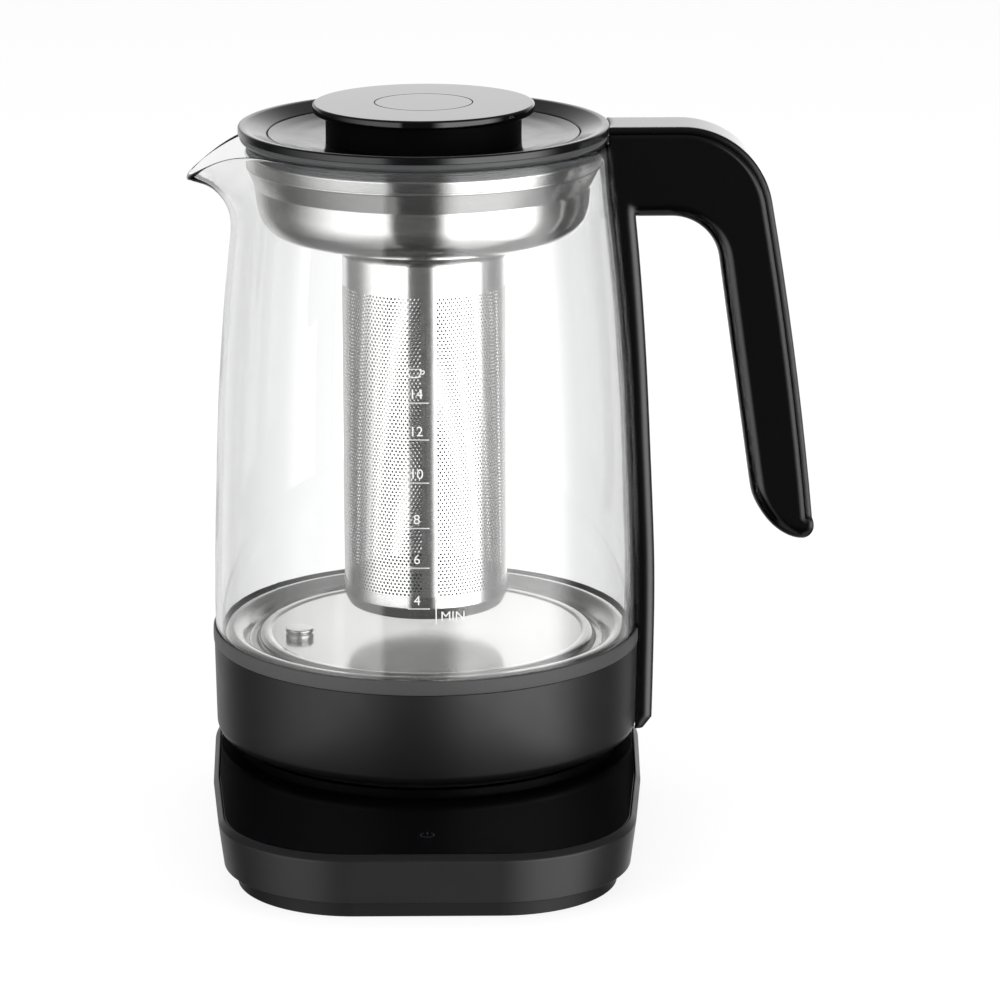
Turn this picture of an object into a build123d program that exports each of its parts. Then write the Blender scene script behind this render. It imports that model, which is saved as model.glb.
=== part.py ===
from build123d import *
import os
from math import atan, degrees

# Automatic tea maker: a glass jug on a 360-degree powered base, with a strainer that hangs in the jug's mouth.
# Millimetres, +Z up. The origin is on the jug's axis, on the surface that the base stands on.
# The handle points along +X, the spout along -X, and the control panel is at -Y.

# ---------------------------------------------------------------- driving dimensions

GAP = 0.3                         # between pieces that move apart
FIT = 0.1                         # between fixed pieces that sit in each other
SCREW_R, SCREW_HEAD_R, SCREW_HEAD, SCREW_SHANK = 1.6, 3.0, 1.4, 9.0
SCREW_SOCKET_R = 1.2

# base
PANEL_Z = 23.2                    # surface of the control panel
PANEL_THICK, PANEL_EDGE, PANEL_INSET = 2.4, 0.3, 0.5
BASE_SEAM_Z = 5.5                 # housing above, tray below
BASE_BEVEL = 2.1                  # height of the bevelled rim round the panel
BASE_BEVEL_INSET = 1.6
BASE_DRAFT_INSET = 2.0            # how far the side wall leans in at the seam
BASE_WALL = 2.4
DECK_THICK = 3.0                  # carries the panel
REAR_R = 77.8                     # round rear, about the jug's axis
WAIST_Y, WAIST_R = -49.0, 76.4
CORNER_X, CORNER_Y, CORNER_R = 25.0, -93.4, 48.0
TRAY_INSET, TRAY_SHIFT = 6.8, -2.2
TRAY_WALL = 2.0
TRAY_RIM = 4.0                    # width of the rim that stands on the table
TRAY_FLOOR_Z, TRAY_FLOOR = 2.0, 2.0
TRAY_FLANGE = 1.5                 # inside the housing's mouth
FOOT_R = 6.0
FEET = [(36, 44), (-36, 44), (48, -92), (-48, -92), (0, -116)]
BOSSES = [(50, 26), (-50, 26), (46, -108), (-46, -108)]
BOSS_R = 4.2
BOARD_WIDE, BOARD_DEEP, BOARD_THICK = 86.0, 46.0, 1.6
BOARD_Y, BOARD_Z = -62.0, 7.6
BOARD_POST_R, BOARD_POST_INSET = 3.0, 4.0
BOARD_BLOCKS = [(-24, 4, 19, 15), (2, 6, 16, 16)]  # transformer and relay: place on the board, width, depth
CAPACITORS, CAPACITOR_R, PARTS_HIGH = [(26, 8), (-4, -12)], 4.0, 6.2
BUZZER_PLACE, BUZZER_R, BUZZER_HIGH, BUZZER_HOLE_R = (24, -10), 6.0, 5.0, 1.0
TOUCH_WIDE, TOUCH_DEEP, TOUCH_Y = 84.0, 22.0, -114.0
GLAND_Y, GLAND_Z, GLAND_R, GLAND_LIP_R, CORD_R = 75.9, 12.4, 5.2, 6.2, 3.4
GLAND_DEEP, GLAND_LIP = 4.0, 2.0
PLUG_R, PLUG_DISC_Z, PLUG_TOP_Z = 21.0, 25.2, 36.0
PLUG_TOWER_R, PLUG_RING_IN, PLUG_RING_OUT, PLUG_PIN_R = 13.0, 6.2, 9.8, 2.4
PLUG_FLANGE, PLUG_FLANGE_THICK, PLUG_GROOVE_Z, PLUG_PIN, PLUG_EDGE = 5.0, 2.4, 27.0, 3.0, 0.8

# jug
GLASS_WALL = 2.3
GLASS_BASE_Z, GLASS_RIM_Z = 61.6, 243.5
GLASS_OUTSIDE = [                 # radius, height
    (76.9, GLASS_BASE_Z), (77.0, 80), (76.2, 111), (74.7, 148),
    (72.7, 177), (70.4, 201), (68.2, 221), (66.1, GLASS_RIM_Z)]
SPOUT_STATIONS = [                # distance from the axis, half width, height of the underside
    (58.0, 21.0, 206.0), (66.0, 17.0, 211.5), (70.2, 13.6, 219.0),
    (73.6, 11.2, 224.4), (77.0, 8.8, 227.2), (81.5, 5.2, 228.6), (85.3, 1.8, 229.4)]
SPOUT_LIP = [                     # the rim's fall towards the spout, seen from the side
    (-52, GLASS_RIM_Z), (-60, 243.0), (-68, 241.0), (-75, 238.6), (-80, 236.0), (-83.5, 233.0), (-86, 229.8)]
COLLAR_TOP_Z, COLLAR_BOTTOM_Z = 60.1, 26.4
COLLAR_TOP_R, COLLAR_BOTTOM_R, COLLAR_LIP_R = 77.5, 76.9, 74.4
RING_R, RING_TOP_Z = 77.7, 65.3   # ring between the collar and the glass
PLATE_Z, PLATE_R = 62.3, 60.8     # heated disc inside the jug
DISH_SHEET = 0.9
SENSOR_X, SENSOR_Y, SENSOR_EDGE = -46.0, -8.5, 0.5
SENSOR_STEM_R = 3.4
SENSOR_STEPS = [(54.0, PLATE_Z, SENSOR_STEM_R), (PLATE_Z, 63.4, 5.1), (63.4, 63.9, 4.6), (63.9, 65.3, 5.1)]
UNDERSIDE_Z, UNDERSIDE_THICK = 26.8, 2.2
UNDERSIDE_RING, RING_DRAFT = (64.0, 70.0), 0.6  # the ring that the jug stands on
SOCKET_R, SOCKET_FLANGE_Z, SOCKET_TOP_Z = 26.0, 30.4, 46.0
SOCKET_FLANGE, SOCKET_WALL, SOCKET_FIT = 3.0, 2.0, 0.4
JUG_BOSS_R, JUG_BOSS_PITCH_R = 4.0, 60.0
COLLAR_CORNER_R, COLLAR_CORNER_Z = 2.6, 28.9
COLLAR_FOOT_IN, COLLAR_WALL_LOW, COLLAR_WALL_TOP = 72.3, 74.7, 75.2
DECK_INNER_R, DECK_OUTER_R, DECK_Z, DECK_TOP_Z = 54.0, 75.4, 56.0, 58.6  # the collar's inner shelf
SEAL_FOOT_Z, SEAL_IN_R, SEAL_STEP_R, SEAL_TOP_Z = 60.6, 73.9, 74.6, 64.6
RING_IN_R, RING_SHELF_R = 77.1, 71.5
DISH_MIDDLE = [                   # middle line of the dish's sheet, from its rim of the flat disc outwards
    (57.0, PLATE_Z - DISH_SHEET / 2), (57.8, PLATE_Z), (60.0, PLATE_Z), (PLATE_R, 61.4), (61.8, 59.5),
    (67.4, 59.5), (69.0, 60.3), (72.0, 64.5), (72.9, 64.9), (73.4, 64.4), (73.4, 61.0)]
SPREADER_R, SPREADER_THICK = 53.0, 3.0
ELEMENT_R, ELEMENT_Z, ELEMENT_TUBE_R, ELEMENT_ARC = 37.0, 54.4, 4.0, 310
CUT_OUT_R, CUT_OUT_FLANGE_R, CUT_OUT_Z, CUT_OUT_FLANGE_Z, CUT_OUT_TOP_Z = 17.0, 20.0, 48.0, 51.0, 58.4
BACK_OF_SPOUT = 60.0              # spout slices nearer to the axis stay inside the jug

# handle
HANDLE_HALF = 12.0                # half its width across the jug
HANDLE_TOP_Z, ARM_UNDER_Z, HANDLE_BOTTOM_Z = 249.2, 216.5, 27.0
HANDLE_ROOT_X = 60.0              # inside the glass, before it is cut to fit
BEND_R, BEND_X, BEND_ARC = 32.7, 91.5, 80.2
INNER_BEND_R, INNER_BEND_X = 17.2, 88.2
BACK_MID, BACK_END, TIP_MID = (132.6, 166.0), (139.7, 106.0), (138.9, 99.6)
TOE = [(135.4, 97.4), (130.6, 98.9), (123.3, 105.0), (118.7, 112.6), (116.6, 122.0)]
GRIP_SLOPE = 0.143                # the grip leans out by this much for each millimetre down
COVER_THICK, COVER_STEP, COVER_EDGE_R = 2.6, 0.6, 1.0
GRIP_EDGE_R, STRIP_EDGE_R = 5.9, 2.4
GRIP_WALL, GRIP_HOLLOW_HALF, GRIP_HOLLOW_Z = 3.2, 8.4, 112.0
STRIP_OUTSIDE = [                 # distance from the axis, height
    (75.4, ARM_UNDER_Z), (78.1, 186), (80.1, 154), (81.6, 122), (82.9, 89), (82.8, 56), (82.3, 31)]
HANDLE_SCREW_X, HANDLE_SCREW_Z = 73.4, (38.0, 50.0)
HANDLE_HOLE = 4.2
NEST = 0.05                       # between the handle and what it is fixed against

# infuser and lid
RIM_R, RIM_TOP_Z, RIM_UNDER_Z = 66.2, 249.2, 246.4
RIM_WALL, RIM_EDGE, RIM_LAND = 0.7, 0.6, 1.8
PLUG_IN_R, PLUG_WALL_R, PLUG_UNDER_Z = 60.2, 62.6, 237.8   # the ring's wall inside the jug's mouth
SHELF_IN_R, SHELF_Z, SHELF_TOP_Z = 52.5, 241.4, 243.6      # what the lid rests on
GROOVE_R, GROOVE_Z, GROOVE_TOP_Z = 61.4, 238.4, 241.2      # holds the seal
SEAL_R, SEAL_WAIST_R = 63.3, 62.4
SEAL_LIPS = [(SEAL_R - 0.1, 238.5), (SEAL_R, 238.8), (SEAL_WAIST_R, 239.4), (SEAL_WAIST_R, 240.0),
             (SEAL_R - 0.1, 240.2), (SEAL_R, 240.6), (SEAL_WAIST_R, 241.1)]
BOWL_SHEET = 0.8
BOWL_MIDDLE = [                   # middle line of the bowl's sheet, from the rim to the neck round the tube
    (60.8, 237.4), (62.8, 237.2), (59.4, 228.2), (58.9, 219.0), (57.6, 215.2), (54.6, 212.8), (50.0, 211.4),
    (34.0, 208.6), (30.6, 206.8), (30.05, 203.6)]
TUBE_R, TUBE_TOP_Z, TUBE_END_Z = 29.6, 206.0, 78.0
CUP_R, CUP_TOP_Z, CUP_UNDER_Z, CUP_FLOOR_Z, CUP_FLOOR_R = 30.2, 84.0, 73.6, 74.4, 27.0
LID_R, LID_EDGE_Z, LID_UNDER_Z = 55.6, 246.4, 241.4
LID_SKIRT_R, LID_SKIRT_Z, LID_SKIRT, LID_LEDGE_Z = 52.2, 238.0, 2.0, 243.9
STEM_R, STEM_FOOT_Z, STEM_WALL, STEM_BOSS_R = 34.9, 244.0, 2.0, 3.4
KNOB_R, KNOB_TOP_Z, KNOB_UNDER_Z, KNOB_EDGE = 39.5, 256.9, 253.7, 0.7
INLAY_R, INLAY_Z, INLAY_EDGE = 17.3, 256.0, 0.2
LID_SCREW_PITCH_R = 24.0

DECK_UNDER_Z = PANEL_Z - PANEL_THICK - DECK_THICK
TRAY_TOP_Z = TRAY_FLOOR_Z + TRAY_FLOOR
UPWARD = (Align.CENTER, Align.CENTER, Align.MIN)

os.makedirs("parts", exist_ok=True)


def keep(piece, label):
    """Name a finished piece and write it."""
    piece.part.label = label
    export_step(piece.part, f"parts/{label}.step")


def outline(inset, shift=0.0):
    """Draw the base as seen from above into the current sketch: a round rear, a waist and two front corners."""
    with Locations((0, shift)):
        Circle(REAR_R - inset)
    with Locations((0, WAIST_Y + shift)):
        Circle(WAIST_R - inset)
    with Locations((CORNER_X, CORNER_Y + shift), (-CORNER_X, CORNER_Y + shift)):
        Circle(CORNER_R - inset)
    make_hull()


def section(*points):
    """A closed outline of (radius, height) points, to be turned about the jug's axis."""
    with BuildSketch(Plane.XZ) as sketch:
        with BuildLine():
            Polyline(*points, close=True)
        make_face()
    return sketch.sketch


def sheet_section(thick, *points):
    """A thin sheet's section, from the (radius, height) points of its middle line."""
    with BuildSketch(Plane.XZ) as sketch:
        with BuildLine():
            Polyline(*points)
        trace(line_width=thick)
    return sketch.sketch


def glass_section(shrink):
    """The jug's body as a solid, smaller all round by shrink."""
    with BuildSketch(Plane.XZ) as sketch:
        with BuildLine():
            edge = Spline(*[(r - shrink, z) for r, z in GLASS_OUTSIDE])
            Polyline(edge @ 1, (0, GLASS_RIM_Z), (0, GLASS_BASE_Z), edge @ 0)
        make_face()
    return sketch.sketch


def spout_sections(shrink):
    """Round-bottomed slices across the spout, from inside the jug to its tip."""
    top = GLASS_RIM_Z + 6
    slices = []
    for x, half, low in SPOUT_STATIONS:
        half = max(half - 1.15 * shrink, 0.6)
        low = low + shrink
        bend = low + min(half, 0.9 * (top - low))
        with BuildSketch(Plane((-x if x < BACK_OF_SPOUT else shrink - x, 0, 0),
                               x_dir=(0, -1, 0), z_dir=(-1, 0, 0))) as sketch:
            with BuildLine():
                Line((half, top), (half, bend))
                ThreePointArc((half, bend), (0, low), (-half, bend))
                Polyline((-half, bend), (-half, top), (half, top))
            make_face()
        slices.append(sketch.sketch.face())
    return slices


def handle_back():
    """Draw the handle's outer line, from the glass over the bend and down the back of the grip."""
    Line((HANDLE_ROOT_X, HANDLE_TOP_Z), (BEND_X, HANDLE_TOP_Z))
    bend = CenterArc((BEND_X, HANDLE_TOP_Z - BEND_R), BEND_R, 90, -BEND_ARC)
    return ThreePointArc(bend @ 1, BACK_MID, BACK_END)


def grip_side(plane, band=None):
    """The arm and grip from the side: whole, or cut by its outer band, or, by Mode.INTERSECT, the band alone."""
    with BuildSketch(plane) as sketch:
        with BuildLine():
            back = handle_back()
            ThreePointArc(back @ 1, TIP_MID, TOE[0])
            toe = Spline(*TOE, tangents=((-1, 0.12), (-GRIP_SLOPE, 1)))
            corner = CenterArc((INNER_BEND_X, ARM_UNDER_Z - INNER_BEND_R), INNER_BEND_R, 8, 82)
            Line(toe @ 1, corner @ 0)
            Polyline(corner @ 1, (HANDLE_ROOT_X, ARM_UNDER_Z), (HANDLE_ROOT_X, HANDLE_TOP_Z))
        make_face()
        if band:
            with BuildLine():
                handle_back()
            trace(line_width=2 * COVER_THICK, mode=band)
    return sketch.sketch


def jug_room():
    """What the handle is cut back from: the glass with the lid's ring above it."""
    with BuildSketch(Plane.XZ) as sketch:
        with BuildLine():
            glass = Spline(*[(r + NEST, z) for r, z in GLASS_OUTSIDE])
            Polyline(glass @ 1, (RIM_R + GAP, GLASS_RIM_Z), (RIM_R + GAP, KNOB_TOP_Z), (0, KNOB_TOP_Z),
                     (0, GLASS_BASE_Z), glass @ 0)
        make_face()
    return sketch.sketch


# ---------------------------------------------------------------- base

with BuildPart() as base_housing:
    bevel_z = PANEL_Z - BASE_BEVEL
    side = bevel_z - BASE_SEAM_Z
    with BuildSketch(Plane.XY.offset(bevel_z)) as widest:
        outline(0)
    extrude(amount=BASE_BEVEL, taper=degrees(atan(BASE_BEVEL_INSET / BASE_BEVEL)))
    extrude(widest.sketch, amount=-side, taper=degrees(atan(BASE_DRAFT_INSET / side)))
    with BuildSketch(Plane.XY.offset(PANEL_Z - PANEL_THICK)):
        outline(BASE_BEVEL_INSET + PANEL_INSET - FIT)
    extrude(amount=PANEL_THICK, mode=Mode.SUBTRACT)
    with BuildSketch(Plane.XY.offset(BASE_SEAM_Z)):
        outline(BASE_DRAFT_INSET + BASE_WALL)
    extrude(amount=DECK_UNDER_Z - BASE_SEAM_Z, mode=Mode.SUBTRACT)
    with BuildSketch(Plane.XY.offset(DECK_UNDER_Z)):
        Circle(PLUG_R + 2 * FIT)
        with Locations((0, TOUCH_Y)):
            Rectangle(TOUCH_WIDE + 1, TOUCH_DEEP + 1)
    extrude(amount=DECK_THICK, mode=Mode.SUBTRACT)
    with BuildSketch(Plane.XY.offset(TRAY_TOP_Z)):
        with Locations(*BOSSES):
            Circle(BOSS_R)
    extrude(amount=DECK_UNDER_Z - TRAY_TOP_Z)
    with Locations(*[(x, y, TRAY_TOP_Z) for x, y in BOSSES]):
        Cylinder(SCREW_R, SCREW_SHANK, align=UPWARD, mode=Mode.SUBTRACT)
    with Locations(Plane((0, GLAND_Y, GLAND_Z), z_dir=(0, 1, 0))):
        Cylinder(GLAND_R, 4 * GLAND_DEEP, mode=Mode.SUBTRACT)
        Cylinder(GLAND_LIP_R + FIT, 2 * GLAND_DEEP, align=UPWARD, mode=Mode.SUBTRACT)
keep(base_housing, "base_housing")

with BuildPart() as control_panel:
    with BuildSketch(Plane.XY.offset(PANEL_Z - PANEL_THICK)):
        outline(BASE_BEVEL_INSET + PANEL_INSET)
        Circle(PLUG_R + 2 * FIT, mode=Mode.SUBTRACT)
    extrude(amount=PANEL_THICK)
    chamfer(control_panel.faces().sort_by(Axis.Z)[-1].outer_wire().edges(), PANEL_EDGE)
keep(control_panel, "control_panel")

with BuildPart() as base_tray:
    with BuildSketch():
        outline(TRAY_INSET, TRAY_SHIFT)
    extrude(amount=BASE_SEAM_Z)
    with BuildSketch(Plane.XY.offset(BASE_SEAM_Z)):
        outline(BASE_DRAFT_INSET + BASE_WALL + FIT)
    extrude(amount=TRAY_FLANGE)
    with BuildSketch(Plane.XY.offset(TRAY_TOP_Z)):
        outline(TRAY_INSET + TRAY_WALL, TRAY_SHIFT)
    extrude(amount=BASE_SEAM_Z + TRAY_FLANGE - TRAY_TOP_Z, mode=Mode.SUBTRACT)
    with BuildSketch():
        outline(TRAY_INSET + TRAY_RIM, TRAY_SHIFT)
    extrude(amount=TRAY_FLOOR_Z, mode=Mode.SUBTRACT)
    with BuildSketch(Plane.XY.offset(TRAY_TOP_Z)):
        with Locations((0, BOARD_Y)):
            with GridLocations(BOARD_WIDE - 2 * BOARD_POST_INSET, BOARD_DEEP - 2 * BOARD_POST_INSET, 2, 2):
                Circle(BOARD_POST_R)
    extrude(amount=BOARD_Z - TRAY_TOP_Z)
    with Locations(*[(x, y, 0) for x, y in BOSSES]):
        Cylinder(SCREW_R, BASE_SEAM_Z, align=UPWARD, mode=Mode.SUBTRACT)
keep(base_tray, "base_tray")

with BuildPart() as base_feet:
    with BuildSketch():
        with Locations(*FEET):
            Circle(FOOT_R)
    extrude(amount=TRAY_FLOOR_Z)
keep(base_feet, "base_feet")

with BuildPart() as base_screws:
    with BuildSketch(Plane.XY.offset(TRAY_FLOOR_Z - SCREW_HEAD)):
        with Locations(*BOSSES):
            Circle(SCREW_HEAD_R)
            RegularPolygon(SCREW_SOCKET_R, 6, mode=Mode.SUBTRACT)
    extrude(amount=SCREW_HEAD)
    with BuildSketch(Plane.XY.offset(TRAY_FLOOR_Z)):
        with Locations(*BOSSES):
            Circle(SCREW_R - FIT / 2)
    extrude(amount=SCREW_SHANK)
keep(base_screws, "base_screws")

with BuildPart() as base_plug:
    revolve(section(
        (0, DECK_UNDER_Z - PLUG_FLANGE_THICK), (PLUG_R + PLUG_FLANGE, DECK_UNDER_Z - PLUG_FLANGE_THICK),
        (PLUG_R + PLUG_FLANGE, DECK_UNDER_Z), (PLUG_R, DECK_UNDER_Z), (PLUG_R, PLUG_DISC_Z - PLUG_EDGE),
        (PLUG_R - PLUG_EDGE, PLUG_DISC_Z), (PLUG_TOWER_R, PLUG_DISC_Z), (PLUG_TOWER_R, PLUG_TOP_Z - PLUG_EDGE),
        (PLUG_TOWER_R - PLUG_EDGE, PLUG_TOP_Z), (PLUG_RING_OUT, PLUG_TOP_Z), (PLUG_RING_OUT, PLUG_GROOVE_Z),
        (PLUG_RING_IN, PLUG_GROOVE_Z), (PLUG_RING_IN, PLUG_TOP_Z), (PLUG_PIN_R, PLUG_TOP_Z),
        (PLUG_PIN_R, PLUG_TOP_Z + PLUG_PIN - PLUG_EDGE), (PLUG_PIN_R - PLUG_EDGE, PLUG_TOP_Z + PLUG_PIN),
        (0, PLUG_TOP_Z + PLUG_PIN)), axis=Axis.Z)
keep(base_plug, "base_plug")

with BuildPart() as power_board:
    with BuildSketch(Plane.XY.offset(BOARD_Z)):
        with Locations((0, BOARD_Y)):
            Rectangle(BOARD_WIDE, BOARD_DEEP)
    extrude(amount=BOARD_THICK)
    with BuildSketch(Plane.XY.offset(BOARD_Z + BOARD_THICK)):
        for x, y, wide, deep in BOARD_BLOCKS:
            with Locations((x, BOARD_Y + y)):
                Rectangle(wide, deep)
        for x, y in CAPACITORS:
            with Locations((x, BOARD_Y + y)):
                Circle(CAPACITOR_R)
    extrude(amount=PARTS_HIGH)
keep(power_board, "power_board")

with BuildPart() as touch_board:
    with BuildSketch(Plane.XY.offset(PANEL_Z - PANEL_THICK - BOARD_THICK)):
        with Locations((0, TOUCH_Y)):
            Rectangle(TOUCH_WIDE, TOUCH_DEEP)
    extrude(amount=BOARD_THICK)
keep(touch_board, "touch_board")

with BuildPart() as buzzer:
    with BuildSketch(Plane.XY.offset(BOARD_Z + BOARD_THICK)):
        with Locations((BUZZER_PLACE[0], BOARD_Y + BUZZER_PLACE[1])):
            Circle(BUZZER_R)
            Circle(BUZZER_HOLE_R, mode=Mode.SUBTRACT)
    extrude(amount=BUZZER_HIGH)
keep(buzzer, "buzzer")

with BuildPart() as cord_gland:
    with BuildSketch(Plane((0, GLAND_Y - GLAND_DEEP, GLAND_Z), z_dir=(0, 1, 0))):
        Circle(GLAND_R - FIT / 2)
        Circle(CORD_R, mode=Mode.SUBTRACT)
    extrude(amount=GLAND_DEEP)
    with BuildSketch(Plane((0, GLAND_Y, GLAND_Z), z_dir=(0, 1, 0))):
        Circle(GLAND_LIP_R)
        Circle(CORD_R, mode=Mode.SUBTRACT)
    extrude(amount=GLAND_LIP)
keep(cord_gland, "cord_gland")

# ---------------------------------------------------------------- socket under the jug

with BuildPart() as jug_socket:
    shelf_z = SOCKET_FLANGE_Z + SOCKET_FLANGE
    pin_z = PLUG_TOP_Z + PLUG_PIN + SOCKET_FIT
    tower_z = PLUG_TOP_Z + SOCKET_FIT
    ring_z = PLUG_GROOVE_Z + SOCKET_FIT
    revolve(section(
        (PLUG_TOWER_R + SOCKET_FIT, PLUG_DISC_Z + SOCKET_FIT), (SOCKET_R, PLUG_DISC_Z + SOCKET_FIT),
        (SOCKET_R, SOCKET_FLANGE_Z), (SOCKET_R + SOCKET_FLANGE, SOCKET_FLANGE_Z),
        (SOCKET_R + SOCKET_FLANGE, shelf_z), (SOCKET_R - SOCKET_WALL, shelf_z),
        (SOCKET_R - SOCKET_WALL, SOCKET_TOP_Z), (0, SOCKET_TOP_Z), (0, pin_z),
        (PLUG_PIN_R + SOCKET_FIT, pin_z), (PLUG_PIN_R + SOCKET_FIT, tower_z),
        (PLUG_RING_IN + SOCKET_FIT, tower_z), (PLUG_RING_IN + SOCKET_FIT, ring_z),
        (PLUG_RING_OUT - SOCKET_FIT, ring_z), (PLUG_RING_OUT - SOCKET_FIT, tower_z),
        (PLUG_TOWER_R + SOCKET_FIT, tower_z)), axis=Axis.Z)
keep(jug_socket, "jug_socket")

# ---------------------------------------------------------------- jug

with BuildPart() as glass_jug:
    revolve(glass_section(0), axis=Axis.Z)
    loft(spout_sections(0), ruled=True)
    revolve(glass_section(GLASS_WALL), axis=Axis.Z, mode=Mode.SUBTRACT)
    loft(spout_sections(GLASS_WALL), ruled=True, mode=Mode.SUBTRACT)
    with BuildSketch(Plane.XZ.offset(-RIM_R)):
        with BuildLine():
            Polyline(*SPOUT_LIP, (-95, SPOUT_LIP[-1][1]), (-95, 260), (90, 260), (90, GLASS_RIM_Z), close=True)
        make_face()
    extrude(amount=2 * RIM_R, mode=Mode.SUBTRACT)
keep(glass_jug, "glass_jug")

with BuildPart() as glass_seal:
    revolve(section(
        (SEAL_IN_R, SEAL_FOOT_Z), (GLASS_OUTSIDE[0][0], SEAL_FOOT_Z), (GLASS_OUTSIDE[0][0], GLASS_BASE_Z),
        (SEAL_STEP_R, GLASS_BASE_Z), (SEAL_STEP_R, SEAL_TOP_Z), (SEAL_IN_R, SEAL_TOP_Z)), axis=Axis.Z)
keep(glass_seal, "glass_seal")

with BuildPart() as collar_ring:
    revolve(section(
        (RING_R, COLLAR_TOP_Z), (RING_R, RING_TOP_Z - GAP), (RING_R - GAP, RING_TOP_Z), (RING_IN_R, RING_TOP_Z),
        (RING_IN_R, SEAL_FOOT_Z), (RING_SHELF_R, SEAL_FOOT_Z), (RING_SHELF_R, DECK_TOP_Z),
        (DECK_OUTER_R, DECK_TOP_Z), (DECK_OUTER_R, COLLAR_TOP_Z)), axis=Axis.Z)
keep(collar_ring, "collar_ring")

with BuildPart() as jug_collar:
    with BuildSketch(Plane.XZ):
        with BuildLine():
            corner = (COLLAR_BOTTOM_R, COLLAR_CORNER_Z)
            Polyline((COLLAR_LIP_R, COLLAR_BOTTOM_Z), (COLLAR_FOOT_IN, COLLAR_BOTTOM_Z),
                     (COLLAR_FOOT_IN, COLLAR_CORNER_Z), (COLLAR_WALL_LOW, COLLAR_CORNER_Z),
                     (COLLAR_WALL_TOP, DECK_Z), (DECK_INNER_R, DECK_Z), (DECK_INNER_R, DECK_TOP_Z),
                     (DECK_OUTER_R, DECK_TOP_Z), (DECK_OUTER_R, COLLAR_TOP_Z), (COLLAR_TOP_R, COLLAR_TOP_Z), corner)
            RadiusArc(corner, (COLLAR_LIP_R, COLLAR_BOTTOM_Z), COLLAR_CORNER_R)
        make_face()
    revolve(axis=Axis.Z)
    with BuildSketch(Plane.XY.offset(UNDERSIDE_Z + UNDERSIDE_THICK)):
        with PolarLocations(JUG_BOSS_PITCH_R, 3, start_angle=30):
            Circle(JUG_BOSS_R)
            Circle(SCREW_R, mode=Mode.SUBTRACT)
    extrude(amount=DECK_Z - UNDERSIDE_Z - UNDERSIDE_THICK)
    with Locations(*[Plane((HANDLE_SCREW_X, 0, z), z_dir=(1, 0, 0)) for z in HANDLE_SCREW_Z]):
        Cylinder(SCREW_R + 2 * FIT, SCREW_SHANK, mode=Mode.SUBTRACT)
keep(jug_collar, "jug_collar")

with BuildPart() as jug_underside:
    ring_in, ring_out = UNDERSIDE_RING
    hole_r = SOCKET_R + SOCKET_FIT
    shelf_r = hole_r + 2 * UNDERSIDE_THICK
    revolve(section(
        (hole_r, UNDERSIDE_Z), (ring_in, UNDERSIDE_Z), (ring_in + RING_DRAFT, PANEL_Z + GAP),
        (ring_out - RING_DRAFT, PANEL_Z + GAP), (ring_out, UNDERSIDE_Z), (COLLAR_FOOT_IN - FIT, UNDERSIDE_Z),
        (COLLAR_FOOT_IN - FIT, UNDERSIDE_Z + UNDERSIDE_THICK), (shelf_r, UNDERSIDE_Z + UNDERSIDE_THICK),
        (shelf_r, SOCKET_FLANGE_Z - GAP), (hole_r, SOCKET_FLANGE_Z - GAP)), axis=Axis.Z)
    with PolarLocations(JUG_BOSS_PITCH_R, 3, start_angle=30):
        Cylinder(SCREW_R, 2 * UNDERSIDE_Z, align=UPWARD, mode=Mode.SUBTRACT)
keep(jug_underside, "jug_underside")

with BuildPart() as jug_screws:
    with BuildSketch(Plane.XY.offset(UNDERSIDE_Z - SCREW_HEAD)):
        with PolarLocations(JUG_BOSS_PITCH_R, 3, start_angle=30):
            Circle(SCREW_HEAD_R)
            RegularPolygon(SCREW_SOCKET_R, 6, mode=Mode.SUBTRACT)
    extrude(amount=SCREW_HEAD)
    with BuildSketch(Plane.XY.offset(UNDERSIDE_Z)):
        with PolarLocations(JUG_BOSS_PITCH_R, 3, start_angle=30):
            Circle(SCREW_R - FIT / 2)
    extrude(amount=SCREW_SHANK)
keep(jug_screws, "jug_screws")

with BuildPart() as heater_dish:
    revolve(sheet_section(DISH_SHEET, (0, PLATE_Z - DISH_SHEET / 2), *DISH_MIDDLE), axis=Axis.Z)
    with Locations((SENSOR_X, SENSOR_Y, PLATE_Z)):
        Cylinder(SENSOR_STEM_R + FIT, 4 * DISH_SHEET, mode=Mode.SUBTRACT)
keep(heater_dish, "heater_dish")

with BuildPart() as heat_spreader:
    with BuildSketch(Plane.XY.offset(PLATE_Z - DISH_SHEET - SPREADER_THICK)):
        Circle(SPREADER_R)
        with Locations((SENSOR_X, SENSOR_Y)):
            Circle(SENSOR_STEM_R + FIT, mode=Mode.SUBTRACT)
    extrude(amount=SPREADER_THICK)
keep(heat_spreader, "heat_spreader")

with BuildPart() as heating_element:
    with BuildSketch(Plane.XZ):
        with Locations((ELEMENT_R, ELEMENT_Z)):
            Circle(ELEMENT_TUBE_R)
    revolve(axis=Axis.Z, revolution_arc=ELEMENT_ARC)
keep(heating_element, "heating_element")

with BuildPart() as boil_cut_out:
    revolve(section(
        (0, CUT_OUT_Z), (CUT_OUT_R, CUT_OUT_Z), (CUT_OUT_R, CUT_OUT_FLANGE_Z),
        (CUT_OUT_FLANGE_R, CUT_OUT_FLANGE_Z), (CUT_OUT_FLANGE_R, CUT_OUT_TOP_Z), (0, CUT_OUT_TOP_Z)), axis=Axis.Z)
keep(boil_cut_out, "boil_cut_out")

with BuildPart() as temperature_sensor:
    for low, high, radius in SENSOR_STEPS:
        with BuildSketch(Plane.XY.offset(low)):
            with Locations((SENSOR_X, SENSOR_Y)):
                Circle(radius)
        extrude(amount=high - low)
    chamfer(temperature_sensor.faces().sort_by(Axis.Z)[-1].edges(), SENSOR_EDGE)
keep(temperature_sensor, "temperature_sensor")

# ---------------------------------------------------------------- handle

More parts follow.
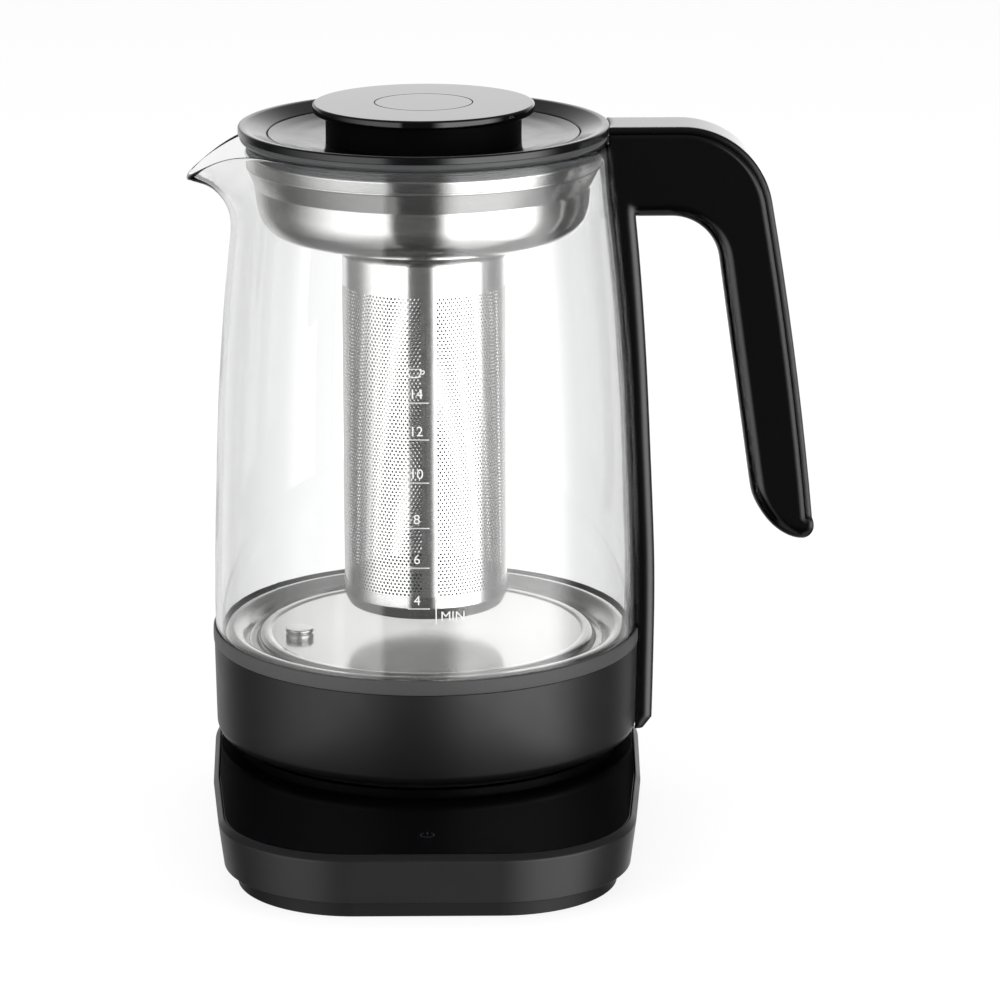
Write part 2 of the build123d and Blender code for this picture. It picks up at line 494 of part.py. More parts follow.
with BuildPart() as handle_body:
    extrude(grip_side(Plane.XZ.offset(-HANDLE_HALF), Mode.SUBTRACT), amount=2 * HANDLE_HALF)
    on_sides = handle_body.edges().filter_by(lambda e: abs(abs(e.center().Y) - HANDLE_HALF) < 0.01)
    fillet([e for e in on_sides if HANDLE_ROOT_X + 1 < (e @ 0.5).X < 128 and (e @ 0.5).Z < ARM_UNDER_Z + 0.1],
           GRIP_EDGE_R)
    with BuildPart(mode=Mode.PRIVATE) as strip:
        with BuildSketch(Plane.XZ.offset(-HANDLE_HALF)):
            with BuildLine():
                face_line = Spline(*STRIP_OUTSIDE)
                Polyline(face_line @ 1, (79.3, HANDLE_BOTTOM_Z), (HANDLE_ROOT_X, HANDLE_BOTTOM_Z),
                         (HANDLE_ROOT_X, ARM_UNDER_Z + 24), (73.6, ARM_UNDER_Z + 24), face_line @ 0)
            make_face()
        extrude(amount=2 * HANDLE_HALF)
        on_sides = strip.edges().filter_by(lambda e: abs(abs(e.center().Y) - HANDLE_HALF) < 0.01)
        fillet([e for e in on_sides if (e @ 0.5).X > 72.9], STRIP_EDGE_R)
    add(strip.part)
    with BuildSketch(Plane.XZ.offset(-GRIP_HOLLOW_HALF)):
        with BuildLine():
            back = handle_back()
            corner = CenterArc((INNER_BEND_X, ARM_UNDER_Z - INNER_BEND_R), INNER_BEND_R + GRIP_WALL, 8, 82)
            Polyline(back @ 1, (TOE[3][0] + GRIP_WALL, BACK_END[1]), corner @ 0)
            Polyline(corner @ 1, (HANDLE_ROOT_X, ARM_UNDER_Z + GRIP_WALL), (HANDLE_ROOT_X, HANDLE_TOP_Z))
        make_face()
        Rectangle(2 * BEND_X, 2 * HANDLE_TOP_Z + 1, mode=Mode.SUBTRACT)
        Rectangle(300, 2 * GRIP_HOLLOW_Z, mode=Mode.SUBTRACT)
    extrude(amount=2 * GRIP_HOLLOW_HALF, mode=Mode.SUBTRACT)
    revolve(jug_room(), axis=Axis.Z, mode=Mode.SUBTRACT)
    revolve(section((0, 0), (COLLAR_BOTTOM_R + NEST, 0), (COLLAR_BOTTOM_R + NEST, COLLAR_CORNER_Z),
                    (COLLAR_TOP_R + NEST, COLLAR_TOP_Z), (RING_R + NEST, COLLAR_TOP_Z),
                    (RING_R + NEST, RING_TOP_Z), (0, RING_TOP_Z)), axis=Axis.Z, mode=Mode.SUBTRACT)
    with Locations(*[Plane((COLLAR_BOTTOM_R, 0, z), z_dir=(1, 0, 0)) for z in HANDLE_SCREW_Z]):
        Cylinder(SCREW_R, HANDLE_HOLE, align=UPWARD, mode=Mode.SUBTRACT)
keep(handle_body, "handle_body")

with BuildPart() as handle_cover:
    half = HANDLE_HALF - COVER_STEP
    extrude(grip_side(Plane.XZ.offset(-half), Mode.INTERSECT), amount=2 * half)
    with BuildLine(Plane.XZ, mode=Mode.PRIVATE) as back_line:
        handle_back()
    fillet([e for e in handle_cover.edges()
            if back_line.line.distance_to(Vector((e @ 0.5).X, 0, (e @ 0.5).Z)) < 0.01 and e.length > 2 * half],
           COVER_EDGE_R)
    revolve(jug_room(), axis=Axis.Z, mode=Mode.SUBTRACT)
keep(handle_cover, "handle_cover")

with BuildPart() as handle_screws:
    for z in HANDLE_SCREW_Z:
        with BuildSketch(Plane((HANDLE_SCREW_X, 0, z), z_dir=(1, 0, 0))):
            Circle(SCREW_HEAD_R)
        extrude(amount=SCREW_HEAD)
        with BuildSketch(Plane((HANDLE_SCREW_X + SCREW_HEAD, 0, z), z_dir=(1, 0, 0))):
            Circle(SCREW_R - FIT / 2)
        extrude(amount=1.4 * HANDLE_HOLE)
keep(handle_screws, "handle_screws")

# ---------------------------------------------------------------- infuser

with BuildPart() as lid_ring:
    mouth_r = LID_R + GAP
    lip_r = RIM_R - RIM_WALL
    seat_z = GLASS_RIM_Z + GAP
    revolve(section(
        (RIM_R, RIM_UNDER_Z), (RIM_R, RIM_TOP_Z - RIM_EDGE), (RIM_R - RIM_EDGE, RIM_TOP_Z),
        (RIM_R - RIM_LAND, RIM_TOP_Z), (mouth_r, LID_EDGE_Z + FIT), (mouth_r, SHELF_TOP_Z),
        (SHELF_IN_R, SHELF_TOP_Z), (SHELF_IN_R, SHELF_Z), (PLUG_IN_R, SHELF_Z),
        (PLUG_IN_R, PLUG_UNDER_Z), (PLUG_WALL_R, PLUG_UNDER_Z),
        (PLUG_WALL_R, GROOVE_Z), (GROOVE_R, GROOVE_Z), (GROOVE_R, GROOVE_TOP_Z), (PLUG_WALL_R, GROOVE_TOP_Z),
        (PLUG_WALL_R, seat_z), (lip_r, seat_z), (lip_r, RIM_UNDER_Z)), axis=Axis.Z)
keep(lid_ring, "lid_ring")

with BuildPart() as lid_seal:
    revolve(section((GROOVE_R, SEAL_LIPS[0][1]), *SEAL_LIPS, (GROOVE_R, SEAL_LIPS[-1][1])), axis=Axis.Z)
keep(lid_seal, "lid_seal")

with BuildPart() as strainer_bowl:
    revolve(sheet_section(BOWL_SHEET, *BOWL_MIDDLE), axis=Axis.Z)
keep(strainer_bowl, "strainer_bowl")

with BuildPart() as infuser_tube:
    with BuildSketch(Plane.XY.offset(TUBE_END_Z)):
        Circle(TUBE_R)
        Circle(TUBE_R - BOWL_SHEET, mode=Mode.SUBTRACT)
    extrude(amount=TUBE_TOP_Z - TUBE_END_Z)
keep(infuser_tube, "infuser_tube")

with BuildPart() as infuser_cup:
    with BuildSketch(Plane.XZ):
        with BuildLine():
            wall = Line((CUP_R, CUP_TOP_Z), (CUP_R, CUP_UNDER_Z + CUP_R - CUP_FLOOR_R))
            bend = TangentArc(wall @ 1, (CUP_FLOOR_R, CUP_UNDER_Z), tangent=(0, -1))
            floor = Polyline(bend @ 1, (0, CUP_UNDER_Z), (0, CUP_FLOOR_Z), (CUP_FLOOR_R, CUP_FLOOR_Z))
            inside = TangentArc(floor @ 1, (TUBE_R, CUP_FLOOR_Z + TUBE_R - CUP_FLOOR_R), tangent=(1, 0))
            Polyline(inside @ 1, (TUBE_R, CUP_TOP_Z), wall @ 0)
        make_face()
    revolve(axis=Axis.Z)
keep(infuser_cup, "infuser_cup")

# ---------------------------------------------------------------- lid

with BuildPart() as lid_dish:
    revolve(section(
        (0, LID_UNDER_Z), (LID_SKIRT_R - LID_SKIRT, LID_UNDER_Z), (LID_SKIRT_R - LID_SKIRT, LID_SKIRT_Z),
        (LID_SKIRT_R, LID_SKIRT_Z), (LID_SKIRT_R, LID_LEDGE_Z), (LID_R, LID_LEDGE_Z), (LID_R, LID_EDGE_Z - GAP),
        (LID_R - GAP, LID_EDGE_Z), (STEM_R, STEM_FOOT_Z), (0, STEM_FOOT_Z)), axis=Axis.Z)
    with Locations((0, 0, LID_UNDER_Z)):
        with PolarLocations(LID_SCREW_PITCH_R, 3):
            Cylinder(SCREW_R, SCREW_SHANK, mode=Mode.SUBTRACT)
keep(lid_dish, "lid_dish")

with BuildPart() as lid_stem:
    revolve(section(
        (STEM_R - STEM_WALL, STEM_FOOT_Z), (STEM_R, STEM_FOOT_Z), (STEM_R, KNOB_UNDER_Z), (0, KNOB_UNDER_Z),
        (0, KNOB_UNDER_Z - STEM_WALL), (STEM_R - STEM_WALL, KNOB_UNDER_Z - STEM_WALL)), axis=Axis.Z)
    with BuildSketch(Plane.XY.offset(STEM_FOOT_Z)):
        with PolarLocations(LID_SCREW_PITCH_R, 3):
            Circle(STEM_BOSS_R)
            Circle(SCREW_R, mode=Mode.SUBTRACT)
    extrude(amount=KNOB_UNDER_Z - STEM_WALL - STEM_FOOT_Z)
keep(lid_stem, "lid_stem")

with BuildPart() as lid_screws:
    with BuildSketch(Plane.XY.offset(LID_UNDER_Z - SCREW_HEAD)):
        with PolarLocations(LID_SCREW_PITCH_R, 3):
            Circle(SCREW_HEAD_R)
            RegularPolygon(SCREW_SOCKET_R, 6, mode=Mode.SUBTRACT)
    extrude(amount=SCREW_HEAD)
    with BuildSketch(Plane.XY.offset(LID_UNDER_Z)):
        with PolarLocations(LID_SCREW_PITCH_R, 3):
            Circle(SCREW_R - FIT / 2)
    extrude(amount=SCREW_SHANK)
keep(lid_screws, "lid_screws")

with BuildPart() as knob:
    revolve(section(
        (0, KNOB_UNDER_Z), (KNOB_R - KNOB_EDGE, KNOB_UNDER_Z), (KNOB_R, KNOB_UNDER_Z + KNOB_EDGE),
        (KNOB_R, KNOB_TOP_Z - KNOB_EDGE), (KNOB_R - KNOB_EDGE, KNOB_TOP_Z), (INLAY_R + GAP, KNOB_TOP_Z),
        (INLAY_R + GAP, INLAY_Z), (0, INLAY_Z)), axis=Axis.Z)
keep(knob, "knob")

with BuildPart() as knob_inlay:
    revolve(section(
        (0, INLAY_Z), (INLAY_R, INLAY_Z), (INLAY_R, KNOB_TOP_Z - INLAY_EDGE),
        (INLAY_R - INLAY_EDGE, KNOB_TOP_Z), (0, KNOB_TOP_Z)), axis=Axis.Z)
keep(knob_inlay, "knob_inlay")
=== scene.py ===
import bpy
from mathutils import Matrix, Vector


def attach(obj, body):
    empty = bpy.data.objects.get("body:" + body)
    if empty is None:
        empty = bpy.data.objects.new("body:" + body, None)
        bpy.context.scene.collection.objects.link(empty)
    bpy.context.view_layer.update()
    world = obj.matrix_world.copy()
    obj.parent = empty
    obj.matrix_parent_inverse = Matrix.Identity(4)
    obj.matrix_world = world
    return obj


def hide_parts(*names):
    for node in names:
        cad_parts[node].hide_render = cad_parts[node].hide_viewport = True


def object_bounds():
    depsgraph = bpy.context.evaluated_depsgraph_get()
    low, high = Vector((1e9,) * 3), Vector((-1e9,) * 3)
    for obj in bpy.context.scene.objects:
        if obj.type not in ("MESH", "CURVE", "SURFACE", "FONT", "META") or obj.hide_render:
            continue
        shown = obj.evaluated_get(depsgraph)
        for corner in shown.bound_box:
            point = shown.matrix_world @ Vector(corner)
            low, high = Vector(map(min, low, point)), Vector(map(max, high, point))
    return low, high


bl_info = {
    "name": "Automatic tea maker",
    "version": (1, 0, 0),
    "blender": (4, 5, 0),
    "location": "3D View > Sidebar > Tea maker",
    "description": "Makes the visible pieces, finishes and stage of a glass tea maker on its CAD frame",
    "category": "Object",
}

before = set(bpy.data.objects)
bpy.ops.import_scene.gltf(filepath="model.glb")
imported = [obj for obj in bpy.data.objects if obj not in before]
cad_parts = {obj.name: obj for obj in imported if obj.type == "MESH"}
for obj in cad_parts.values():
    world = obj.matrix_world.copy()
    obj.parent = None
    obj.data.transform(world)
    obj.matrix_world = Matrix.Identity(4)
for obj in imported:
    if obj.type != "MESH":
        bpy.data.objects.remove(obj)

from bisect import bisect_right
from math import atan2, cos, degrees, hypot, pi, radians, sin, sqrt, tau

import bmesh
import bpy
from mathutils import Matrix, Vector

CAD_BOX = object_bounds()
MM = 0.001
WELD = 2e-6  # metres within which a mesh's doubles are merged

# ---- facets

TURN_STEPS = 256  # facets round a turned piece
ARC_STEP = 2  # degrees of each facet round the base
GLASS_ROWS, RIM_ROWS = 60, 10  # facets up the glass, and over its rounded rim
BAR_ROW = 2.0  # millimetres of each facet up a printed line
TUBE_PARTS = 4  # pieces that the perforated sheet is made in, because of its many facets

# ---- sizes, in millimetres, on the CAD frame's axes

# the glass jug's outside: height, radius
GLASS_WALL, GLASS_FOOT_Z, GLASS_RIM_Z = 2.3, 61.6, 243.5
GLASS_OUTSIDE = [(61.6, 76.9), (80.0, 77.0), (111.0, 76.2), (148.0, 74.7), (177.0, 72.7), (201.0, 70.4),
                 (221.0, 68.2), (243.5, 66.1)]
# along the middle of the spout: share of the way to the lip, radius, height
SPOUT_START_Z, SPOUT_TIP_R = 204.0, 85.3
SPOUT_UNDERSIDE = [(0.0, 70.1, 204.0), (0.14, 69.4, 210.0), (0.26, 69.2, 214.4), (0.37, 69.7, 218.0),
                   (0.48, 71.2, 221.6), (0.59, 73.9, 225.0), (0.7, 77.1, 227.3), (0.81, 80.4, 228.3),
                   (0.91, 83.2, 228.8), (1.0, 85.3, 229.3)]
# the spout seen from above: ends of its straight side, how softly the sides leave the wall and meet
SPOUT_SIDE, SPOUT_NOSE = (64.0, 28.5), (85.3, 7.0)
SPOUT_ROOT_SOFT, SPOUT_NOSE_SOFT = 0.07, 0.16
SPOUT_SPREAD, SPOUT_FADE = radians(46), radians(8)
SPOUT_DIP = 1.6  # power of the share by which the lip sinks towards the nose
SPOUT_STRIDE = 0.01  # share of the way over which the spout's direction is read

# the base seen from above: its outline runs round these circles, anticlockwise from the rear: centre, radius
BASE_WAIST = ((0.0, -49.0), 76.4)
BASE_OUTLINE = [((0.0, 0.0), 77.8), BASE_WAIST, ((-25.0, -93.4), 48.0), ((25.0, -93.4), 48.0), BASE_WAIST]
BASE_SEAM_Z, BASE_WIDEST_Z, PANEL_Z, PANEL_SEAT_Z, DECK_UNDER_Z = 5.5, 21.1, 23.2, 20.8, 17.8
BASE_DRAFT, BASE_BEVEL_INSET, PANEL_INSET, PANEL_GAP, BASE_WALL = 2.0, 1.6, 0.5, 0.1, 2.4
PLUG_HOLE_R, GLAND_Y, GLAND_Z, GLAND_LIP_R = 21.2, 75.9, 12.4, 6.3
ICON_Y, ICON_R, ICON_LINE, ICON_GAP = -119.4, 2.3, 0.42, radians(34)
STROKE_AT, STROKE_LONG = 0.75, 1.1  # the symbol's stroke, as shares of its radius
PRINT_LIFT, PANEL_PRINT_LIFT = 0.03, 0.02  # how far the inks stand off the glass and off the panel

# the scale: numeral, height of its middle and of its tick; then words, their size and their middle
SCALE_NUMERALS = [("14", 167.5, 164.6), ("12", 154.5, 151.7), ("10", 139.5, 136.5), ("8", 123.4, 120.4),
                  ("6", 109.2, 106.2), ("4", 94.4, 91.6)]
SCALE_WORDS = [("0.5", 3.5, 9.35, 94.6), ("MIN", 3.5, 9.35, 88.7), ("MAX", 3.5, 9.35, 162.1)]
SCALE_NUMERAL_X, SCALE_TICK_X, SCALE_LINE_X, SCALE_LINE_Z = -3.1, (-6.4, 1.3), 3.47, (86.1, 171.2)
CAPITAL_SHARE = 0.72  # height of the font's numerals, as a share of its size
CUP_PLACE = (-3.5, 175.0)
CUP_BOWL = [(-2.6, 1.5), (2.3, 1.5), (2.3, 0.0), (1.5, -1.4), (0.6, -1.7), (-0.9, -1.7), (-1.8, -1.4),
            (-2.6, 0.0)]
CUP_HANDLE, CUP_HANDLE_MIDDLE = [(2.3, 1.0), (3.3, 1.0), (3.5, 0.1), (2.9, -0.5), (2.2, -0.5)], (2.5, 0.3)

# the strainer's tube, and the plain seam that runs down its perforated sheet
TUBE_R, TUBE_END_Z, TUBE_TOP_Z, HOLES_Z = 29.6, 78.0, 204.6, (82.5, 192.0)
TUBE_LAP = 0.1  # how far the plain ends reach past the first and the last row of holes
TUBE_SINK = 0.02  # how far they lie inside the perforated sheet's face
SEAM_AT, SEAM_COLUMNS, SEAM_LAP = radians(2.6), 3, 0.9
SENSOR_X, SENSOR_Y = -46.0, -8.5
PAN_SHEET, BOWL_SHEET = 0.9, 0.8  # thickness

# ---- stage values

# name, place and size in metres, power in watts
LAMPS = [("left_box", (-1.1, -0.7, 0.9), 0.8, 1.2, 9.0), ("right_box", (1.2, -0.6, 0.8), 0.8, 1.2, 7.0),
         ("top_box", (0.1, 0.5, 1.5), 1.2, 1.0, 9.0)]
LAMP_AIM = Vector((0, 0, 0.12))
CAMERA_PLACE, CAMERA_TILT, CAMERA_ROLL = (0, -1.61663, 0.53772), radians(75.2), radians(-0.31)
FLOOR_GAP = 0.0002  # below the feet
FLOOR_GLOW = 0.85  # share of the sweep that is its own white, the rest takes shade

# what gloss shows of the room, by edges: degrees round from the front or sine of the height, and soft width
ROOM_LEVEL, AZIMUTH_END = 0.11, 240.0  # dim walls, and where the degrees wrap
# soft boxes: first edge, second edge, strength, and the share of it that is left above their top
SOFT_BOXES = [((-78.0, 64.0), (-23.5, 6.0), 2.3, 0.35), ((15.5, 18.0), (80.0, 26.0), 4.4, 0.35),
              ((156.0, 10.0), (184.0, 5.0), 0.65, 1.0)]
BOX_TOP = (0.13, 0.2)
SIDE_WALLS = (138.0, 24.0, 0.0, 0.75)  # further back on both sides: edge, light before it and past it
TABLE_EDGE = (-0.54, 0.3, 0.2, 1.0)  # the dark table: edge, share of light below it and above it
CEILING_EDGE, CEILING_LEVEL = (0.36, 0.36, 0.0, 1.0), 0.22
GLASS_GLOW = 0.55  # the least that light turned back once within a glass wall brings
BOUNCE_LEVEL = 0.75  # the room's strength for light that dull surfaces pass on

# ---- general helpers


def linear(code):
    """Turn an sRGB hex colour into linear RGBA."""
    channels = [int(code[i:i + 2], 16) / 255 for i in (1, 3, 5)]
    return [c / 12.92 if c <= 0.04045 else ((c + 0.055) / 1.055) ** 2.4 for c in channels] + [1.0]


def per_mm(size):
    """The texture scale, in cells per metre, at which one cell is this many millimetres."""
    return 1 / (size * MM)


def along(points, at):
    """Read a smooth line through rows of (place, value, ...) at one place, and give the values there."""
    places = [p[0] for p in points]
    at = min(max(at, places[0]), places[-1])
    i = min(max(bisect_right(places, at) - 1, 0), len(points) - 2)
    rows = [points[max(i - 1, 0)], points[i], points[i + 1], points[min(i + 2, len(points) - 1)]]
    span = rows[2][0] - rows[1][0]
    t = (at - rows[1][0]) / span
    values = []
    for k in range(1, len(points[0])):
        slope_in = (rows[2][k] - rows[0][k]) / (rows[2][0] - rows[0][0]) * span
        slope_out = (rows[3][k] - rows[1][k]) / (rows[3][0] - rows[1][0]) * span
        values.append((2 * t**3 - 3 * t**2 + 1) * rows[1][k] + (t**3 - 2 * t**2 + t) * slope_in
                      + (3 * t**2 - 2 * t**3) * rows[2][k] + (t**3 - t**2) * slope_out)
    return values


def glass_radius(z):
    """The glass jug's outside radius at a height, in millimetres."""
    return along(GLASS_OUTSIDE, z)[0]


def placed(name, data):
    """Put a new object in the scene; a bmesh is made its mesh first."""
    if isinstance(data, bmesh.types.BMesh):
        bm, data = data, bpy.data.meshes.new(name)
        bm.to_mesh(data)
        bm.free()
    item = bpy.data.objects.new(name, data)
    bpy.context.scene.collection.objects.link(item)
    return item


def finished(bm, name, finish, body, *nodes, slot=None, sharp=32, flats=True):
    """Make a piece from a bmesh: smooth up to the sharp angle, riding on a body, standing for CAD nodes.

    The slot argument is not used. With flats, its wide faces stay flat in
    shade up to their rounded edges.
    """
    slot = slot or finish
    piece = placed(name, bm)
    piece.data.materials.append(FINISHES[finish])
    piece.data.shade_smooth()
    piece.data.set_sharp_from_angle(angle=radians(sharp))
    if flats:
        shade = piece.modifiers.new("flats", "WEIGHTED_NORMAL")
        shade.keep_sharp = True
        shade.weight = 100
    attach(piece, body)
    if nodes:
        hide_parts(*nodes)
    return piece


def settled(item):
    """The mesh that an object has once its modifiers, or its letters, are worked out."""
    return bpy.data.meshes.new_from_object(item.evaluated_get(bpy.context.evaluated_depsgraph_get()))


def thicken(piece, thickness, offset, inside=None):
    """Give a sheet piece its thickness in millimetres: offset -1 puts it all inside, 0 half on each side."""
    wall = piece.modifiers.new("sheet", "SOLIDIFY")
    wall.thickness = thickness * MM
    wall.offset = offset
    wall.use_even_offset = True
    edges = piece.modifiers.new("edges", "EDGE_SPLIT")
    edges.split_angle = radians(32)
    for _ in range(2):  # both go before the shading
        piece.modifiers.move(len(piece.modifiers) - 1, 0)
    if inside:
        piece.data.materials.append(FINISHES[inside])
        wall.material_offset = 1


def profile_mesh(points, closed):
    """A bmesh of one section line from (radius, height) points in millimetres; a third number rounds one."""
    bm = bmesh.new()
    verts = [bm.verts.new((p[0] * MM, 0, p[1] * MM)) for p in points]
    for pair in zip(verts, verts[1:]):
        bm.edges.new(pair)
    if closed:
        bm.edges.new((verts[-1], verts[0]))
    for vert, point in zip(verts, points):
        if len(point) == 3:
            bmesh.ops.bevel(bm, geom=[vert], offset=point[2] * MM, segments=5, profile=0.5,
                            affect="VERTICES", material=-1)
    return bm


def weld(bm):
    """Merge a bmesh's doubles and turn its faces outward."""
    bmesh.ops.remove_doubles(bm, verts=bm.verts, dist=WELD)
    bmesh.ops.delete(bm, geom=[edge for edge in bm.edges if not edge.link_faces], context="EDGES")
    bmesh.ops.recalc_face_normals(bm, faces=bm.faces)


def turned(points, closed=True, steps=TURN_STEPS):
    """A bmesh turned about the jug's axis from its section."""
    bm = profile_mesh(points, closed and points[0][0] * points[-1][0] > 0)
    bmesh.ops.spin(bm, geom=bm.verts[:] + bm.edges[:], axis=(0, 0, 1), angle=tau, steps=steps, use_merge=True)
    weld(bm)
    return bm


# ---- finishes

FINISHES = {}  # by name, filled by main


def feed(node, inputs):
    """Set a node's inputs to values, or link them from sockets or from the first output of nodes."""
    for key, value in inputs.items():
        if isinstance(value, bpy.types.Node):
            value = value.outputs[0]
        if isinstance(value, bpy.types.NodeSocket):
            node.id_data.links.new(value, node.inputs[key])
        else:
            node.inputs[key].default_value = value


def add_node(tree, kind, inputs=None, **settings):
    """Add a node to a tree with its settings and what feeds its inputs."""
    node = tree.nodes.new("ShaderNode" + kind)
    for name, value in settings.items():
        setattr(node, name, value)
    feed(node, inputs or {})
    return node


def bare_tree(owner):
    """The node tree of a new material or world, emptied."""
    owner.use_nodes = True
    owner.node_tree.nodes.clear()
    return owner.node_tree


def new_finish(name, **sockets):
    """Start a material: its node tree with a Principled shader whose sockets have these values."""
    material = bpy.data.materials.new(name)
    tree = bare_tree(material)
    shader = add_node(tree, "BsdfPrincipled", {key.replace("_", " "): v for key, v in sockets.items()})
    add_node(tree, "OutputMaterial", {"Surface": shader})
    return material, tree, shader


def grain(tree, size, detail=2.0, roughness=0.5, vector=None):
    """Noise whose cells have a real size in millimetres, in the piece's own coordinates."""
    place = vector or add_node(tree, "TexCoord").outputs["Object"]
    return add_node(tree, "TexNoise", {"Vector": place, "Scale": per_mm(size), "Detail": detail,
                                       "Roughness": roughness}).outputs["Fac"]


def roughness_from(tree, shader, pattern, low, high, start=0.0, end=1.0):
    """Let a pattern, read from start to end, vary a shader's roughness from low to high."""
    spread = add_node(tree, "MapRange", {"Value": pattern, "From Min": start, "From Max": end, "To Min": low,
                                         "To Max": high})
    feed(shader, {"Roughness": spread})


def relief(tree, shader, height, strength, depth):
    """Raise a shader's surface by a pattern, whose full height is this depth in millimetres."""
    bump = add_node(tree, "Bump", {"Height": height, "Strength": strength, "Distance": depth * MM})
    feed(shader, {"Normal": bump})
    return bump


def darker(colour, share):
    """The same colour at a share of its strength."""
    return [c * share for c in colour[:3]] + [1.0]


def colour_from(tree, shader, pattern, colour, low, high=1.0):
    """Let a pattern vary a shader's colour between two shares of its strength."""
    shades = {0: pattern, 6: darker(colour, low), 7: darker(colour, high)}
    feed(shader, {"Base Color": add_node(tree, "Mix", shades, data_type="RGBA").outputs[2]})


def spark_textured_abs(name, colour, size=0.45, depth=0.10, rough=(0.36, 0.46), shine=0.5):
    """ABS moulded in a spark-eroded tool: a fine even stipple that spreads highlights into a soft satin."""
    material, tree, shader = new_finish(name, IOR=1.53, Specular_IOR_Level=shine)
    stipple = grain(tree, size, 3.0, 0.6)
    colour_from(tree, shader, stipple, colour, 0.86, 1.12)
    roughness_from(tree, shader, grain(tree, 9.0, 3.0), *rough)
    relief(tree, shader, stipple, depth, 0.05)
    return material


def polished_abs(name, colour, rough=(0.035, 0.075), edge=0.0):
    """ABS moulded in a mirror-polished tool: clear reflections, a little softened where hands have rubbed it.

    An edge in millimetres rounds the corners of a CAD solid in its shade.
    """
    material, tree, shader = new_finish(name, IOR=1.53, Specular_IOR_Level=0.4)
    wear = grain(tree, 14.0, 4.0, 0.6)
    colour_from(tree, shader, wear, colour, 1.0, 1.4)
    roughness_from(tree, shader, wear, *rough, start=0.35, end=0.75)
    moulding = relief(tree, shader, grain(tree, 22.0, 1.0), 0.25, 0.05)
    if edge:
        feed(moulding, {"Normal": add_node(tree, "Bevel", {"Radius": edge * MM}, samples=6)})
    return material


def float_glass_panel(name, colour):
    """Toughened float glass, painted behind: a mirror-flat black with almost no blur."""
    material, tree, shader = new_finish(name, IOR=1.52, Specular_IOR_Level=0.12)
    smears = grain(tree, 18.0, 5.0, 0.65)
    colour_from(tree, shader, smears, colour, 1.0, 1.5)
    roughness_from(tree, shader, smears, 0.012, 0.035, 0.4, 0.8)
    return material


def moulded_silicone(name, colour):
    """Compression-moulded silicone rubber: dull and dust-grey at grazing light."""
    material, tree, shader = new_finish(name, IOR=1.43, Sheen_Weight=0.25, Sheen_Roughness=0.4)
    dust = grain(tree, 0.8, 4.0, 0.6)
    colour_from(tree, shader, dust, colour, 0.85, 1.2)
    roughness_from(tree, shader, dust, 0.36, 0.5)
    relief(tree, shader, dust, 0.15, 0.04)
    return material


def ring_coordinates(tree, around=0.0):
    """Coordinates that run with a lathe's tool marks: across the rings, and hardly round them."""
    place = add_node(tree, "TexCoord").outputs["Object"]
    parts = add_node(tree, "SeparateXYZ", {"Vector": place}).outputs
    flat = add_node(tree, "CombineXYZ", {"X": parts["X"], "Y": parts["Y"]})
    radius = add_node(tree, "VectorMath", {0: flat}, operation="LENGTH").outputs["Value"]
    turn = add_node(tree, "Math", {0: parts["Y"], 1: parts["X"]}, operation="ARCTAN2")
    slow = add_node(tree, "Math", {0: turn, 1: around * MM}, operation="MULTIPLY")
    return add_node(tree, "CombineXYZ", {"X": radius, "Y": parts["Z"], "Z": slow})


def spun_steel(name, colour, mark=0.35, rough=(0.13, 0.2), depth=0.03, anisotropic=0.65):
    """18/8 stainless steel, spun and brushed on a lathe: fine rings that draw each light out across them."""
    material, tree, shader = new_finish(name, Metallic=1.0, Anisotropic=anisotropic,
                                        Anisotropic_Rotation=0.25)
    marks = grain(tree, mark, 3.0, 0.7, ring_coordinates(tree, 2.0))
    colour_from(tree, shader, marks, colour, 0.95, 1.03)
    roughness_from(tree, shader, marks, *rough, start=0.3, end=0.7)
    relief(tree, shader, marks, depth, 0.02)
    feed(shader, {"Tangent": add_node(tree, "Tangent", direction_type="RADIAL", axis="Z")})
    return material


def polished_steel(name, colour):
    """Stainless steel, turned and polished: bright, with the last faint tool marks left."""
    material, tree, shader = new_finish(name, Metallic=1.0)
    marks = grain(tree, 0.6, 2.0, 0.6, ring_coordinates(tree))
    colour_from(tree, shader, marks, colour, 0.93, 1.03)
    roughness_from(tree, shader, marks, 0.2, 0.3)
    return material


def die_cast_aluminium(name, colour):
    """Die-cast aluminium, tumbled: a pale dull grey with a fine orange-peel skin."""
    material, tree, shader = new_finish(name, Metallic=1.0)
    skin = grain(tree, 1.2, 4.0, 0.6)
    colour_from(tree, shader, skin, colour, 0.82)
    roughness_from(tree, shader, skin, 0.38, 0.55)
    relief(tree, shader, skin, 0.3, 0.06)
    return material


def solder_masked_laminate(name, colour):
    """Glass-cloth laminate under green solder mask: the tracks show as paler lines beneath the gloss."""
    material, tree, shader = new_finish(name, IOR=1.5, Roughness=0.3)
    place = add_node(tree, "TexCoord").outputs["Object"]
    tracks = add_node(tree, "TexBrick", {
        "Vector": place, "Scale": per_mm(7.0), "Mortar Size": 0.06, "Color1": colour,
        "Color2": darker(colour, 0.8), "Mortar": darker(colour, 1.9)}, offset=0.33)
    feed(shader, {"Base Color": tracks})
    relief(tree, shader, tracks.outputs["Fac"], 0.3, 0.05)
    return material


